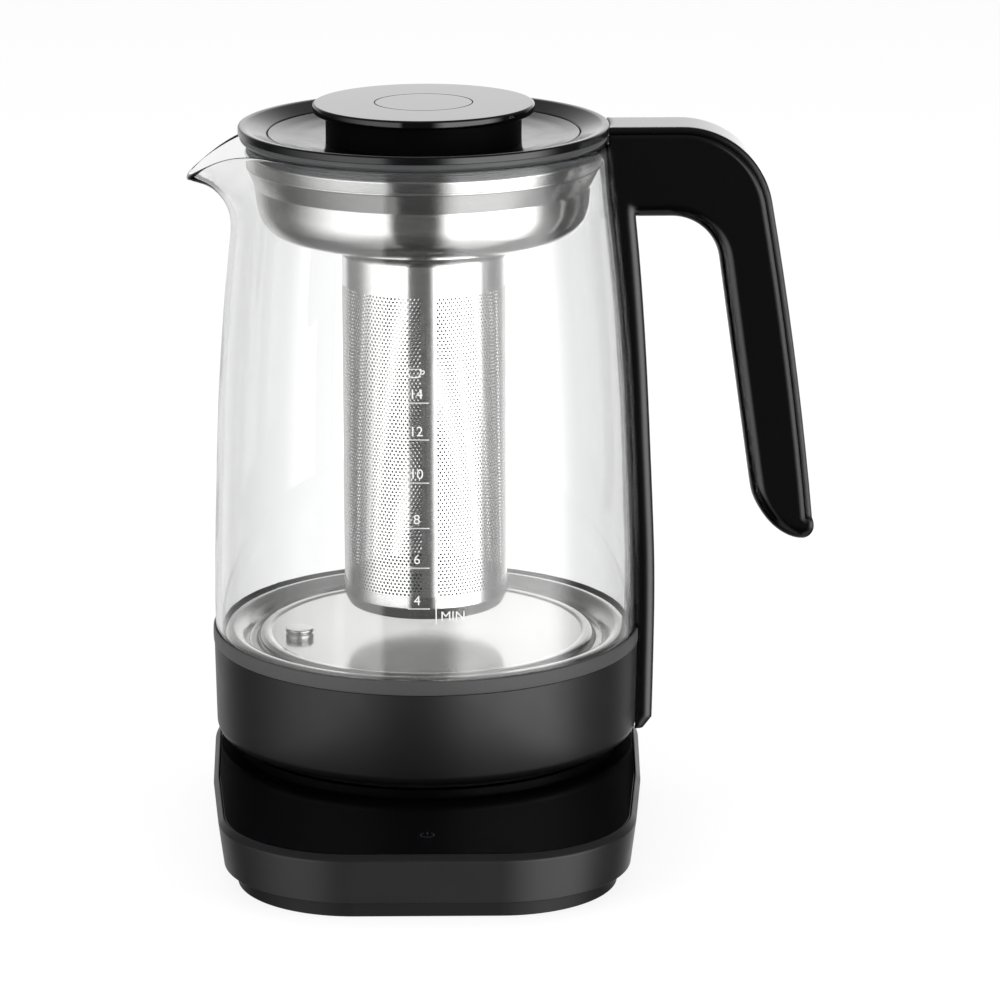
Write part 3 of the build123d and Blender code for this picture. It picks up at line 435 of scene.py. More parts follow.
def borosilicate_glass(name, wall_grey):
    """Blown borosilicate glass: clear, greyer where one looks along the wall, and faintly rippled."""
    material, tree, shader = new_finish(name, Base_Color=linear("#ffffff"), Roughness=0.0, IOR=1.47,
                                        Transmission_Weight=1.0)
    relief(tree, shader, grain(tree, 34.0, 2.0, 0.45), 0.35, 0.25)
    output = next(n for n in tree.nodes if n.type == "OUTPUT_MATERIAL")
    clear = add_node(tree, "BsdfTransparent", {"Color": linear("#f2f4f4")})
    shadow = add_node(tree, "LightPath").outputs["Is Shadow Ray"]
    surface = add_node(tree, "MixShader", {0: shadow, 1: shader, 2: clear})
    wall = add_node(tree, "VolumeAbsorption", {"Color": wall_grey, "Density": 46.0})
    feed(output, {"Surface": surface, "Volume": wall})
    return material


def fired_print(name, colour):
    """Ceramic ink, screen-printed and fired on the glass: a flat chalky white with slightly uneven cover."""
    material, tree, shader = new_finish(name, IOR=1.5)
    cover = grain(tree, 0.35, 3.0, 0.6)
    colour_from(tree, shader, cover, colour, 0.88)
    roughness_from(tree, shader, cover, 0.4, 0.55)
    return material


def make_finishes(colours):
    """All the finishes, by the name of the record's material slot or of the piece that they are for."""
    housing, gloss, ring, silicone, scale = (
        [*getattr(colours, name), 1.0] for name in ("housing", "gloss", "ring", "silicone", "scale"))
    stipple, steel = spark_textured_abs, spun_steel
    return {
        "anthracite_housing": stipple("spark_textured_abs", housing, shine=0.34),
        "black_moulding": stipple("glass_filled_nylon", linear("#161617"), 0.6, 0.14, (0.42, 0.55)),
        "gloss_black": polished_abs("polished_abs", gloss),
        "handle_black": polished_abs("hand_polished_abs", gloss, edge=2.6),
        "satin_black": polished_abs("fine_etched_abs", gloss, (0.15, 0.21)),
        "base_tray_black": stipple("etched_nylon_tray", linear("#0c0c0d"), 0.5, 0.1, (0.45, 0.55), 0.2),
        "matt_black": stipple("coarse_etched_abs", linear("#060606"), 0.5, 0.1, (0.55, 0.65), 0.06),
        "gloss_inlay": polished_abs("polished_abs_inlay", darker(gloss, 1.3), (0.03, 0.06)),
        "touch_panel": float_glass_panel("back_painted_float_glass", linear("#020203")),
        "panel_print": fired_print("sensor_mark_print", linear("#2a2a2c")),
        "grey_ring": stipple("moulded_polypropylene", ring, 0.7, 0.12, (0.44, 0.55), 0.25),
        "clear_glass": borosilicate_glass("borosilicate_glass", linear("#d2d4d4")),
        "scale_print": fired_print("fired_ceramic_print", scale),
        "dark_silicone": moulded_silicone("moulded_silicone", silicone),
        "satin_steel": steel("spun_stainless_steel", linear("#cbcbc9")),
        "sheet_steel": steel("perforated_stainless_sheet", linear("#f0f0ee"), 0.5, (0.12, 0.18), 0.02, 0.4),
        # painted shade: the inner face of the tube's sheet gets a dark steel colour, so that its holes look
        # shaded
        "painted_shade_inner_steel": steel("inner_sheet_painted_shade", linear("#484643"), 0.5, (0.3, 0.4), 0.04, 0.3),
        "bright_steel": polished_steel("polished_stainless_steel", linear("#e4e4e2")),
        "cast_aluminium": die_cast_aluminium("die_cast_aluminium", linear("#b9babb")),
        "circuit_board": solder_masked_laminate("solder_masked_laminate", linear("#1f5c3a")),
        "control_block": stipple("moulded_phenolic", linear("#d8d4c8"), 0.9, 0.1, (0.4, 0.5)),
        "buzzer_black": stipple("moulded_buzzer_case", linear("#1b1b1c"), 0.5, 0.1, (0.35, 0.45)),
    }


def dress_nodes(**finish_of):
    """Give CAD nodes that keep their own shape their finish."""
    for name, finish in finish_of.items():
        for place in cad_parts[name].material_slots:
            place.material = FINISHES[finish]


# ---- settings


class TeaMakerColours(bpy.types.PropertyGroup):
    """Colours of the tea maker's finishes."""
    housing: bpy.props.FloatVectorProperty(
        name="Housing", description="Satin plastic of the base and the collar", subtype="COLOR", size=3,
        min=0, max=1, default=linear("#121213")[:3])
    gloss: bpy.props.FloatVectorProperty(
        name="Gloss", description="Polished plastic of the handle and the lid", subtype="COLOR", size=3,
        min=0, max=1, default=linear("#040405")[:3])
    ring: bpy.props.FloatVectorProperty(
        name="Ring", description="Band between the collar and the glass", subtype="COLOR", size=3,
        min=0, max=1, default=linear("#4a4a4b")[:3])
    silicone: bpy.props.FloatVectorProperty(
        name="Seals", description="Silicone of the seals and the feet", subtype="COLOR", size=3,
        min=0, max=1, default=linear("#3e3f40")[:3])
    scale: bpy.props.FloatVectorProperty(
        name="Scale", description="Printed marks on the glass", subtype="COLOR", size=3,
        min=0, max=1, default=linear("#f6f6f4")[:3])


class TeaMakerSizes(bpy.types.PropertyGroup):
    """Sizes of the details that the CAD frame leaves open."""
    # the holes are drawn coarser than real ones, so that they show
    hole_pitch: bpy.props.FloatProperty(
        name="Hole pitch", description="Distance between neighbouring holes of the strainer tube",
        unit="LENGTH", min=0.0008, max=0.004, default=1.45 * MM)
    hole_size: bpy.props.FloatProperty(
        name="Hole size", description="Width of each hole of the strainer tube",
        unit="LENGTH", min=0.0003, max=0.003, default=1.0 * MM)
    sheet: bpy.props.FloatProperty(
        name="Sheet", description="Thickness of the strainer's perforated sheet",
        unit="LENGTH", min=0.0001, max=0.001, default=0.2 * MM)
    numeral: bpy.props.FloatProperty(
        name="Numerals", description="Height of the scale's numerals",
        unit="LENGTH", min=0.002, max=0.008, default=3.5 * MM)
    line: bpy.props.FloatProperty(
        name="Scale line", description="Thickness of the scale's lines",
        unit="LENGTH", min=0.0002, max=0.001, default=0.42 * MM)


# ---- base


def tangent_angle(one, two):
    """Direction of the outward normal where two circles' common tangent touches them, going anticlockwise."""
    (x1, y1), r1 = one
    (x2, y2), r2 = two
    heading = atan2(y2 - y1, x2 - x1)
    lean = (r1 - r2) / hypot(x2 - x1, y2 - y1)
    return heading - pi / 2 + atan2(lean, sqrt(1 - lean * lean))


def base_ring(bm, z, inset):
    """Draw the base's outline at a height, set in all round."""
    arcs = []
    for k, circle in enumerate(BASE_OUTLINE):
        (x, y), r = circle
        start = tangent_angle(BASE_OUTLINE[k - 1], circle)
        sweep = (tangent_angle(circle, BASE_OUTLINE[(k + 1) % len(BASE_OUTLINE)]) - start) % tau
        out = r - inset
        first = bm.verts.new(((x + out * cos(start)) * MM, (y + out * sin(start)) * MM, z * MM))
        bmesh.ops.spin(bm, geom=[first], axis=(0, 0, 1), cent=(x * MM, y * MM, z * MM), angle=sweep,
                       steps=max(2, round(degrees(sweep) / ARC_STEP)))
        bm.verts.ensure_lookup_table()
        arcs.append((first, bm.verts[-1]))
    for k, (first, _) in enumerate(arcs):
        bm.edges.new((arcs[k - 1][1], first))


def circle_ring(bm, z, radius):
    """Draw a circle about the jug's axis at a height."""
    bmesh.ops.create_circle(bm, segments=180, radius=radius * MM, matrix=Matrix.Translation((0, 0, z * MM)))


def bridged(rings):
    """Make a closed skin from rings in order: what draws each, its height, inset or radius, and rounding."""
    bm = bmesh.new()
    loops = []
    for draw, z, size, _ in rings:
        drawn = len(bm.edges)
        draw(bm, z, size)
        bm.edges.ensure_lookup_table()
        loops.append(bm.edges[drawn:])
    for one, two in zip(loops, loops[1:] + loops[:1]):
        bmesh.ops.bridge_loops(bm, edges=one + two)
    for loop, (_, _, _, rounding) in zip(loops, rings):
        if rounding:
            bmesh.ops.bevel(bm, geom=loop, offset=rounding * MM, segments=3, profile=0.5, affect="EDGES",
                            material=-1)
    bmesh.ops.recalc_face_normals(bm, faces=bm.faces)
    return bm


def power_mark():
    """A bmesh of a plain power symbol on the panel: an open ring and a stroke, both thin strips of ink."""
    bm = bmesh.new()
    place = Vector((0, ICON_Y * MM, (PANEL_Z + PANEL_PRINT_LIFT) * MM))
    edge = [bm.verts.new(place + Vector((r * MM * sin(ICON_GAP), r * MM * cos(ICON_GAP), 0)))
            for r in (ICON_R - ICON_LINE / 2, ICON_R + ICON_LINE / 2)]
    bmesh.ops.spin(bm, geom=[*edge, bm.edges.new(edge)], axis=(0, 0, -1), cent=place,
                   angle=tau - 2 * ICON_GAP, steps=40)
    bmesh.ops.create_grid(bm, x_segments=1, y_segments=1, size=0.5, matrix=(
        Matrix.Translation(place + Vector((0, ICON_R * STROKE_AT * MM, 0)))
        @ Matrix.Diagonal((ICON_LINE * MM, ICON_R * STROKE_LONG * MM, 1, 1))))
    bmesh.ops.recalc_face_normals(bm, faces=bm.faces)
    return bm


class TEAMAKER_OT_base(bpy.types.Operator):
    """Make the base's housing and the mark on its panel, and finish the panel, tray, feet, plug and gland"""
    bl_idname = "tea_maker.base"
    bl_label = "Base"

    def execute(self, context):
        lip = BASE_BEVEL_INSET + PANEL_INSET - PANEL_GAP
        inner = BASE_DRAFT + BASE_WALL
        shell = bridged([
            (base_ring, BASE_SEAM_Z, BASE_DRAFT, 0.35), (base_ring, BASE_WIDEST_Z, 0, 0.5),
            (base_ring, PANEL_Z, BASE_BEVEL_INSET, 0.16), (base_ring, PANEL_Z, lip, 0.12),
            (base_ring, PANEL_SEAT_Z, lip, 0), (circle_ring, PANEL_SEAT_Z, PLUG_HOLE_R, 0),
            (circle_ring, DECK_UNDER_Z, PLUG_HOLE_R, 0), (base_ring, DECK_UNDER_Z, inner, 0),
            (base_ring, BASE_SEAM_Z, inner, 0)])
        housing = finished(shell, "base_shell", "anthracite_housing", "base", "base_housing")
        bm = bmesh.new()
        bmesh.ops.create_cone(
            bm, cap_ends=True, segments=64, radius1=GLAND_LIP_R * MM, radius2=GLAND_LIP_R * MM, depth=12 * MM,
            matrix=Matrix.Translation((0, GLAND_Y * MM, GLAND_Z * MM)) @ Matrix.Rotation(pi / 2, 4, "X"))
        drill = placed("drill", bm)
        cut = housing.modifiers.new("cut", "BOOLEAN")
        cut.operation, cut.solver, cut.object = "DIFFERENCE", "EXACT", drill
        housing.data = settled(housing)
        housing.modifiers.remove(cut)
        bpy.data.meshes.remove(drill.data)
        finished(power_mark(), "power_mark", "panel_print", "base", slot="gloss_inlay")
        dress_nodes(control_panel="touch_panel", base_tray="base_tray_black", base_feet="dark_silicone",
                    base_screws="bright_steel", base_plug="black_moulding", cord_gland="dark_silicone")
        return {"FINISHED"}


class TEAMAKER_OT_electrics(bpy.types.Operator):
    """Finish the boards and the buzzer in the base"""
    bl_idname = "tea_maker.electrics"
    bl_label = "Electrics"

    def execute(self, context):
        dress_nodes(power_board="circuit_board", touch_board="circuit_board", buzzer="buzzer_black")
        return {"FINISHED"}


# ---- collar, socket and heater


class TEAMAKER_OT_collar(bpy.types.Operator):
    """Make the collar under the glass, the band above it and the plate beneath, and finish the socket"""
    bl_idname = "tea_maker.collar"
    bl_label = "Collar"

    def execute(self, context):
        finished(turned([
            (74.4, 26.4, 0.3), (72.3, 26.4), (72.3, 28.9), (74.7, 28.9), (75.2, 56.0), (54.0, 56.0),
            (54.0, 58.6), (75.4, 58.6), (75.4, 60.1), (77.5, 60.1, 0.35), (76.88, 27.6, 2.2),
            (75.4, 26.4, 0.8)]), "collar", "anthracite_housing", "jug", "jug_collar")
        finished(turned([
            (77.75, 60.1, 0.25), (77.95, 62.6, 2.0), (77.7, 65.3, 0.5), (77.1, 65.3, 0.1), (77.1, 60.6),
            (71.5, 60.6), (71.5, 58.6), (75.4, 58.6), (75.4, 60.1)]),
            "collar_band", "grey_ring", "jug", "collar_ring")
        finished(turned([
            (26.4, 26.8, 0.5), (64.0, 26.8), (64.6, 23.5, 0.4), (69.4, 23.5, 0.4), (70.0, 26.8), (72.2, 26.8),
            (72.2, 29.0), (30.8, 29.0), (30.8, 30.1), (26.4, 30.1)]),
            "jug_foot_plate", "black_moulding", "jug", "jug_underside")
        dress_nodes(jug_socket="black_moulding", jug_screws="bright_steel", boil_cut_out="control_block")
        return {"FINISHED"}


class TEAMAKER_OT_heater(bpy.types.Operator):
    """Make the steel pan in the jug's floor, its sensor and its seal, and finish what heats it"""
    bl_idname = "tea_maker.heater"
    bl_label = "Heater"

    def execute(self, context):
        pan = turned([
            (0.0, 61.85), (56.6, 61.85), (57.5, 62.3, 0.8), (60.2, 62.3, 0.8), (60.9, 61.4, 0.6),
            (61.7, 59.3, 0.7), (64.8, 59.3, 0.8), (65.8, 61.6, 0.8), (68.2, 64.3, 2.0), (71.8, 64.9, 1.4),
            (73.4, 63.9, 0.6), (73.4, 61.0)], closed=False)
        thicken(finished(pan, "heater_pan", "satin_steel", "jug", "heater_dish", sharp=60), PAN_SHEET, 0)
        pin = turned([
            (0, 54.0), (3.4, 54.0), (3.4, 62.3), (5.1, 62.3), (5.1, 63.3, 0.2), (4.5, 63.5), (4.5, 63.8),
            (5.1, 64.0, 0.2), (5.1, 65.3, 0.5), (0, 65.3)], steps=96)
        bmesh.ops.translate(pin, verts=pin.verts, vec=(SENSOR_X * MM, SENSOR_Y * MM, 0))
        finished(pin, "sensor_pin", "bright_steel", "jug", "temperature_sensor")
        finished(turned([
            (73.95, 60.6), (76.9, 60.6), (76.9, 61.5), (74.55, 61.6), (74.5, 64.4, 0.15),
            (73.95, 64.6, 0.15)]), "floor_seal", "dark_silicone", "jug", "glass_seal")
        dress_nodes(heat_spreader="cast_aluminium", heating_element="cast_aluminium")
        return {"FINISHED"}


# ---- glass


def spout_share(turn):
    """How far the lip at this angle from the spout's middle stands out: 0 on the round wall, 1 at the tip."""
    (x1, y1), (x2, y2) = SPOUT_SIDE, SPOUT_NOSE
    slope = (y2 - y1) / (x2 - x1)
    reach = (y1 - slope * x1) / (abs(sin(turn)) - slope * cos(turn))
    rim = glass_radius(GLASS_RIM_Z)
    share = (reach - rim) / (SPOUT_TIP_R - rim)
    share = (share + hypot(share, SPOUT_ROOT_SOFT)) / 2
    share = 1.0 - (1.0 - share + hypot(1.0 - share, SPOUT_NOSE_SOFT)) / 2
    fade = min(max((SPOUT_SPREAD - abs(turn)) / SPOUT_FADE, 0.0), 1.0)
    return share * fade * fade * (3 - 2 * fade)


def pull_spout(bm):
    """Draw the wall out into the spout: each upright line of it bends towards the spout's middle line."""
    for vert in bm.verts:
        x, y, z = (c / MM for c in vert.co)
        turn = atan2(y, -x)
        if z <= SPOUT_START_Z or abs(turn) >= SPOUT_SPREAD:
            continue
        share = spout_share(turn)
        depth = glass_radius(z) - hypot(x, y)
        place = (z - SPOUT_START_Z) / (GLASS_RIM_Z - SPOUT_START_Z)
        line = []  # the bent line a little below this place, at it and a little above it
        for at in (max(place - SPOUT_STRIDE, 0.0), place, min(place + SPOUT_STRIDE, 1.0)):
            out, up = along(SPOUT_UNDERSIDE, at)
            wall_z = SPOUT_START_Z + at * (GLASS_RIM_Z - SPOUT_START_Z)
            wall_r = glass_radius(wall_z)
            line.append(Vector((wall_r + (out - wall_r) * share, wall_z + (up - wall_z) * share**SPOUT_DIP)))
        run = (line[2] - line[0]).normalized()
        new = line[1] + Vector((-run.y, run.x)) * depth
        vert.co = Vector((-new.x * cos(turn), new.x * sin(turn), new.y)) * MM


class TEAMAKER_OT_glass(bpy.types.Operator):
    """Blow the glass jug: a closed wall with a rounded rim, drawn out into the spout"""
    bl_idname = "tea_maker.glass"
    bl_label = "Glass jug"

    def execute(self, context):
        half = GLASS_WALL / 2
        rim_r, rim_z = glass_radius(GLASS_RIM_Z) - half, GLASS_RIM_Z - half
        heights = [GLASS_FOOT_Z + (rim_z - GLASS_FOOT_Z) * i / GLASS_ROWS for i in range(GLASS_ROWS + 1)]
        outer = [(glass_radius(z), z) for z in heights]
        leans = [pi * k / RIM_ROWS for k in range(1, RIM_ROWS)]
        rim = [(rim_r + half * cos(a), rim_z + half * sin(a)) for a in leans]
        inner = [(r - GLASS_WALL, z) for r, z in reversed(outer)]
        bm = profile_mesh(outer + rim + inner, closed=True)
        section = bm.verts[:] + bm.edges[:]
        bmesh.ops.rotate(bm, verts=bm.verts, matrix=Matrix.Rotation(pi - SPOUT_SPREAD, 3, "Z"))
        fine = bmesh.ops.duplicate(bm, geom=section)["geom"]
        bmesh.ops.spin(bm, geom=fine, axis=(0, 0, 1), angle=2 * SPOUT_SPREAD, steps=144)
        bmesh.ops.spin(bm, geom=section, axis=(0, 0, -1), angle=tau - 2 * SPOUT_SPREAD, steps=168)
        weld(bm)
        pull_spout(bm)
        bm.normal_update()
        finished(bm, "glass_body", "clear_glass", "jug", "glass_jug", sharp=50, flats=False)
        return {"FINISHED"}


# ---- scale on the glass


def add_words(bm, body, size, x, z):
    """Add words in the plane across the front, centred on a place in millimetres."""
    curve = bpy.data.curves.new("words", "FONT")
    curve.body, curve.size = body, size * MM / CAPITAL_SHARE
    curve.align_x, curve.align_y = "CENTER", "CENTER"
    curve.resolution_u = 6
    mesh = settled(placed("words", curve))
    bpy.data.curves.remove(curve)
    mesh.transform(Matrix.Translation((x * MM, 0, z * MM)) @ Matrix.Rotation(pi / 2, 4, "X"))
    bm.from_mesh(mesh)
    bpy.data.meshes.remove(mesh)


def bar(bm, low, high):
    """Add an upright strip of paint between two corners, in millimetres across and up."""
    (x1, z1), (x2, z2) = low, high
    rows = max(1, round((z2 - z1) / BAR_ROW))
    bmesh.ops.create_grid(bm, x_segments=1, y_segments=rows, size=0.5, matrix=(
        Matrix.Translation(((x1 + x2) / 2 * MM, 0, (z1 + z2) / 2 * MM)) @ Matrix.Rotation(pi / 2, 4, "X")
        @ Matrix.Diagonal(((x2 - x1) * MM, (z2 - z1) * MM, 1, 1))))


def cup_icon(bm, x, z, line):
    """Draw a small cup seen from the side: a bowl's outline and a handle, in thin strips."""
    for points, (mx, mz), closed in ((CUP_BOWL, (0, 0), True), (CUP_HANDLE, CUP_HANDLE_MIDDLE, False)):
        verts = [bm.verts.new(((x + px) * MM, 0, (z + pz) * MM)) for px, pz in points]
        edges = [bm.edges.new(pair) for pair in zip(verts, verts[1:])]
        if closed:
            edges.append(bm.edges.new((verts[-1], verts[0])))
        middle = Vector(((x + mx) * MM, 0, (z + mz) * MM))
        for made in bmesh.ops.extrude_edge_only(bm, edges=edges)["geom"]:
            if isinstance(made, bmesh.types.BMVert):
                made.co -= (made.co - middle).normalized() * line * MM


def face_front(bm):
    """Turn the faces of an open sheet so that they look to the front."""
    for face in bm.faces:
        if face.normal.y > 0:
            face.normal_flip()


class TEAMAKER_OT_scale(bpy.types.Operator):
    """Print the scale on the front of the glass: ticks, numerals, words, an upright line and a cup"""
    bl_idname = "tea_maker.scale"
    bl_label = "Scale"

    def execute(self, context):
        sizes = context.scene.tea_maker_sizes
        numeral, line = sizes.numeral / MM, sizes.line / MM
        bm = bmesh.new()
        for word, middle_z, tick_z in SCALE_NUMERALS:
            add_words(bm, word, numeral, SCALE_NUMERAL_X, middle_z)
            bar(bm, (SCALE_TICK_X[0], tick_z - line / 2), (SCALE_TICK_X[1], tick_z + line / 2))
        for word, size, x, z in SCALE_WORDS:
            add_words(bm, word, size, x, z)
        bar(bm, (SCALE_LINE_X - line / 2, SCALE_LINE_Z[0]), (SCALE_LINE_X + line / 2, SCALE_LINE_Z[1]))
        cup_icon(bm, *CUP_PLACE, line)
        for vert in bm.verts:
            radius = glass_radius(vert.co.z / MM) + PRINT_LIFT
            vert.co.y = -sqrt(radius**2 - (vert.co.x / MM) ** 2) * MM
        bm.normal_update()
        face_front(bm)
        finished(bm, "scale_print", "scale_print", "jug", slot="clear_glass")
        return {"FINISHED"}


# ---- handle


class TEAMAKER_OT_handle(bpy.types.Operator):
    """Finish the handle and its cover in polished plastic, with their joint showing between them"""
    bl_idname = "tea_maker.handle"
    bl_label = "Handle"

    def execute(self, context):
        dress_nodes(handle_body="handle_black", handle_cover="handle_black", handle_screws="bright_steel")
        return {"FINISHED"}


# ---- infuser


def perforated_sheet(columns, first, step, rows, rise, pitch, hole, radius):
    """Part of the tube's sheet: brick-laid cells round the tube, each with one six-sided hole."""
    bm = bmesh.new()
    corners = [(-0.5, 0), (0, 0), (0.5, 0), (0.5, 1), (0, 1), (-0.5, 1)]
    cell = bm.faces.new([bm.verts.new((u * pitch, 0, v * rise)) for u, v in corners])
    bmesh.ops.inset_individual(bm, faces=[cell], thickness=pitch / 8, use_even_offset=True)
    for vert in cell.verts:  # each goes to the nearest corner of the hole
        turn = radians(round((degrees(atan2(vert.co.z - rise / 2, vert.co.x)) - 30) / 60) * 60 + 30)
        vert.co = Vector((cos(turn) * hole / 2, 0, rise / 2 + sin(turn) * hole / 2))
    bmesh.ops.delete(bm, geom=[cell], context="FACES_ONLY")
    row = bm.verts[:] + bm.edges[:] + bm.faces[:]
    for i in range(1, rows):
        copy = bmesh.ops.duplicate(bm, geom=row)["geom"]
        moved = [g for g in copy if isinstance(g, bmesh.types.BMVert)]
        bmesh.ops.translate(bm, verts=moved, vec=(pitch / 2 * (i % 2), 0, i * rise))
    for vert in bm.verts:
        turn = vert.co.x / radius + first
        vert.co = Vector((radius * sin(turn), -radius * cos(turn), HOLES_Z[0] * MM + vert.co.z))
    bmesh.ops.remove_doubles(bm, verts=bm.verts, dist=WELD)
    bmesh.ops.spin(bm, geom=bm.verts[:] + bm.edges[:] + bm.faces[:], axis=(0, 0, 1),
                   angle=step * (columns - 1), steps=columns - 1, use_duplicate=True)
    bmesh.ops.remove_doubles(bm, verts=bm.verts, dist=WELD)
    return bm


def tube_piece(bm, name, sheet, *nodes, flats=True):
    """Make a piece of the tube's sheet, bright outside and dark inside: a painted shade on the sheet's inner
    face, which darkens the holes.
    """
    piece = finished(bm, name, "sheet_steel", "infuser", *nodes, slot="satin_steel", flats=flats)
    thicken(piece, sheet, -1, inside="painted_shade_inner_steel")


class TEAMAKER_OT_infuser(bpy.types.Operator):
    """Make the strainer: the perforated tube with its plain ends and seam, the cup below it, and its bowl"""
    bl_idname = "tea_maker.infuser"
    bl_label = "Infuser"

    def execute(self, context):
        sizes = context.scene.tea_maker_sizes
        radius, sheet = TUBE_R * MM, sizes.sheet / MM
        columns = round(tau * radius / sizes.hole_pitch)
        step = tau / columns
        pitch = step * radius
        high = (HOLES_Z[1] - HOLES_Z[0]) * MM
        rows = round(high / (pitch * cos(radians(30))))
        start = SEAM_AT + step * (SEAM_COLUMNS + 1) / 2 - step / 4
        done = 0
        for part in range(1, TUBE_PARTS + 1):
            upto = round((columns - SEAM_COLUMNS) * part / TUBE_PARTS)
            mesh = perforated_sheet(upto - done, start + step * done, step, rows, high / rows, pitch,
                                    sizes.hole_size, radius)
            tube_piece(mesh, f"tube_mesh_{part}", sheet, flats=False)
            done = upto

        inside = TUBE_R - TUBE_SINK
        foot = turned([(inside, TUBE_END_Z), (inside, HOLES_Z[0] + TUBE_LAP)], closed=False)
        tube_piece(foot, "tube_foot", sheet)
        neck = turned([(inside, HOLES_Z[1] - TUBE_LAP), (inside, TUBE_TOP_Z)], closed=False)
        tube_piece(neck, "tube_neck", sheet, "infuser_tube")
        seam = bmesh.new()
        wide = step * (SEAM_COLUMNS + SEAM_LAP)
        edge = SEAM_AT - wide / 2
        verts = [seam.verts.new((inside * MM * sin(edge), -inside * MM * cos(edge), z * MM)) for z in HOLES_Z]
        bmesh.ops.spin(seam, geom=[*verts, seam.edges.new(verts)], axis=(0, 0, 1), angle=wide, steps=8)
        bmesh.ops.recalc_face_normals(seam, faces=seam.faces)
        face_front(seam)
        tube_piece(seam, "tube_seam", sheet)

        finished(turned([
            (29.61, 82.3), (29.61, 78.2), (27.6, 74.4, 1.2), (0, 74.4), (0, 73.6), (27.9, 73.6, 0.8),
            (29.9, 77.9, 0.35), (29.75, 82.3)]), "tube_cup", "satin_steel", "infuser", "infuser_cup")
        bowl = turned([
            (61.6, 239.8), (63.5, 239.8, 0.3), (62.5, 235.7, 0.1), (62.7, 235.45, 0.12), (62.2, 235.1, 0.12),
            (59.4, 228.2, 0.3), (58.8, 219.6, 2.6), (56.9, 214.2, 3.0), (52.4, 211.2, 3.0),
            (30.1, 206.0, 2.6), (30.1, 203.2)], closed=False)
        bowl = finished(bowl, "strainer_cone", "satin_steel", "infuser", "strainer_bowl", sharp=50)
        thicken(bowl, BOWL_SHEET, 0)
        return {"FINISHED"}


# ---- lid


class TEAMAKER_OT_lid(bpy.types.Operator):
    """Make the mouth's ring and seal, and the lid with its stem, its knob and the disc let into the knob"""
    bl_idname = "tea_maker.lid"
    bl_label = "Lid"

    def execute(self, context):
        finished(turned([
            (66.2, 246.4, 0.25), (66.2, 249.2, 0.7), (64.2, 249.2, 0.9), (55.9, 246.5, 0.5), (55.9, 243.6),
            (52.5, 243.6), (52.5, 241.4), (60.2, 241.4), (60.2, 237.8), (61.6, 237.8), (61.6, 244.6),
            (64.4, 244.6), (64.4, 246.4)]),
            "mouth_ring", "satin_black", "infuser", "lid_ring", slot="gloss_black")
        finished(turned([
            (61.6, 239.9), (63.4, 239.9, 0.2), (63.4, 240.4, 0.2), (62.8, 240.7, 0.1), (62.8, 241.5, 0.1),
            (63.5, 241.8, 0.2), (63.5, 242.4, 0.2), (62.8, 242.8, 0.1), (62.8, 243.9, 0.3),
            (64.9, 243.95, 0.2), (65.6, 244.8, 0.4), (65.6, 246.38, 0.12), (64.4, 246.38), (64.4, 244.6),
            (61.6, 244.6)]), "mouth_seal", "dark_silicone", "infuser", "lid_seal")
        finished(turned([
            (0, 241.4), (50.2, 241.4), (50.2, 238.0), (52.2, 238.0), (52.2, 243.9), (55.6, 243.9),
            (55.6, 246.4, 0.4), (50.0, 245.3, 1.5), (42.0, 244.3, 2.0), (34.9, 244.0), (0, 244.0)]),
            "lid_plate", "satin_black", "lid", "lid_dish", slot="gloss_black")
        finished(turned([(32.9, 244.0), (34.9, 244.0), (34.9, 253.7), (0, 253.7), (0, 251.7), (32.9, 251.7)]),
            "knob_stem", "matt_black", "lid", "lid_stem", slot="gloss_black")
        finished(turned([
            (0, 253.7), (39.5, 253.7, 0.7), (39.5, 256.9, 0.8), (17.65, 256.9, 0.12), (17.65, 256.0),
            (0, 256.0)]), "knob_disc", "gloss_black", "lid", "knob")
        finished(turned([(0, 256.0), (17.3, 256.0), (17.3, 256.9, 0.15), (0, 256.9)]),
            "knob_middle", "gloss_inlay", "lid", "knob_inlay")
        dress_nodes(lid_screws="bright_steel")
        return {"FINISHED"}


# ---- stage


def soft_edges(tree, *edges):
    """The product of smooth steps: each goes from low to high where its value passes a middle."""
    product = 1.0
    for value, middle, width, low, high in edges:
        step = add_node(tree, "MapRange", {
            "Value": value, "From Min": middle - width / 2, "From Max": middle + width / 2, "To Min": low,
            "To Max": high}, interpolation_type="SMOOTHSTEP")
        product = add_node(tree, "Math", {0: product, 1: step}, operation="MULTIPLY")
    return product


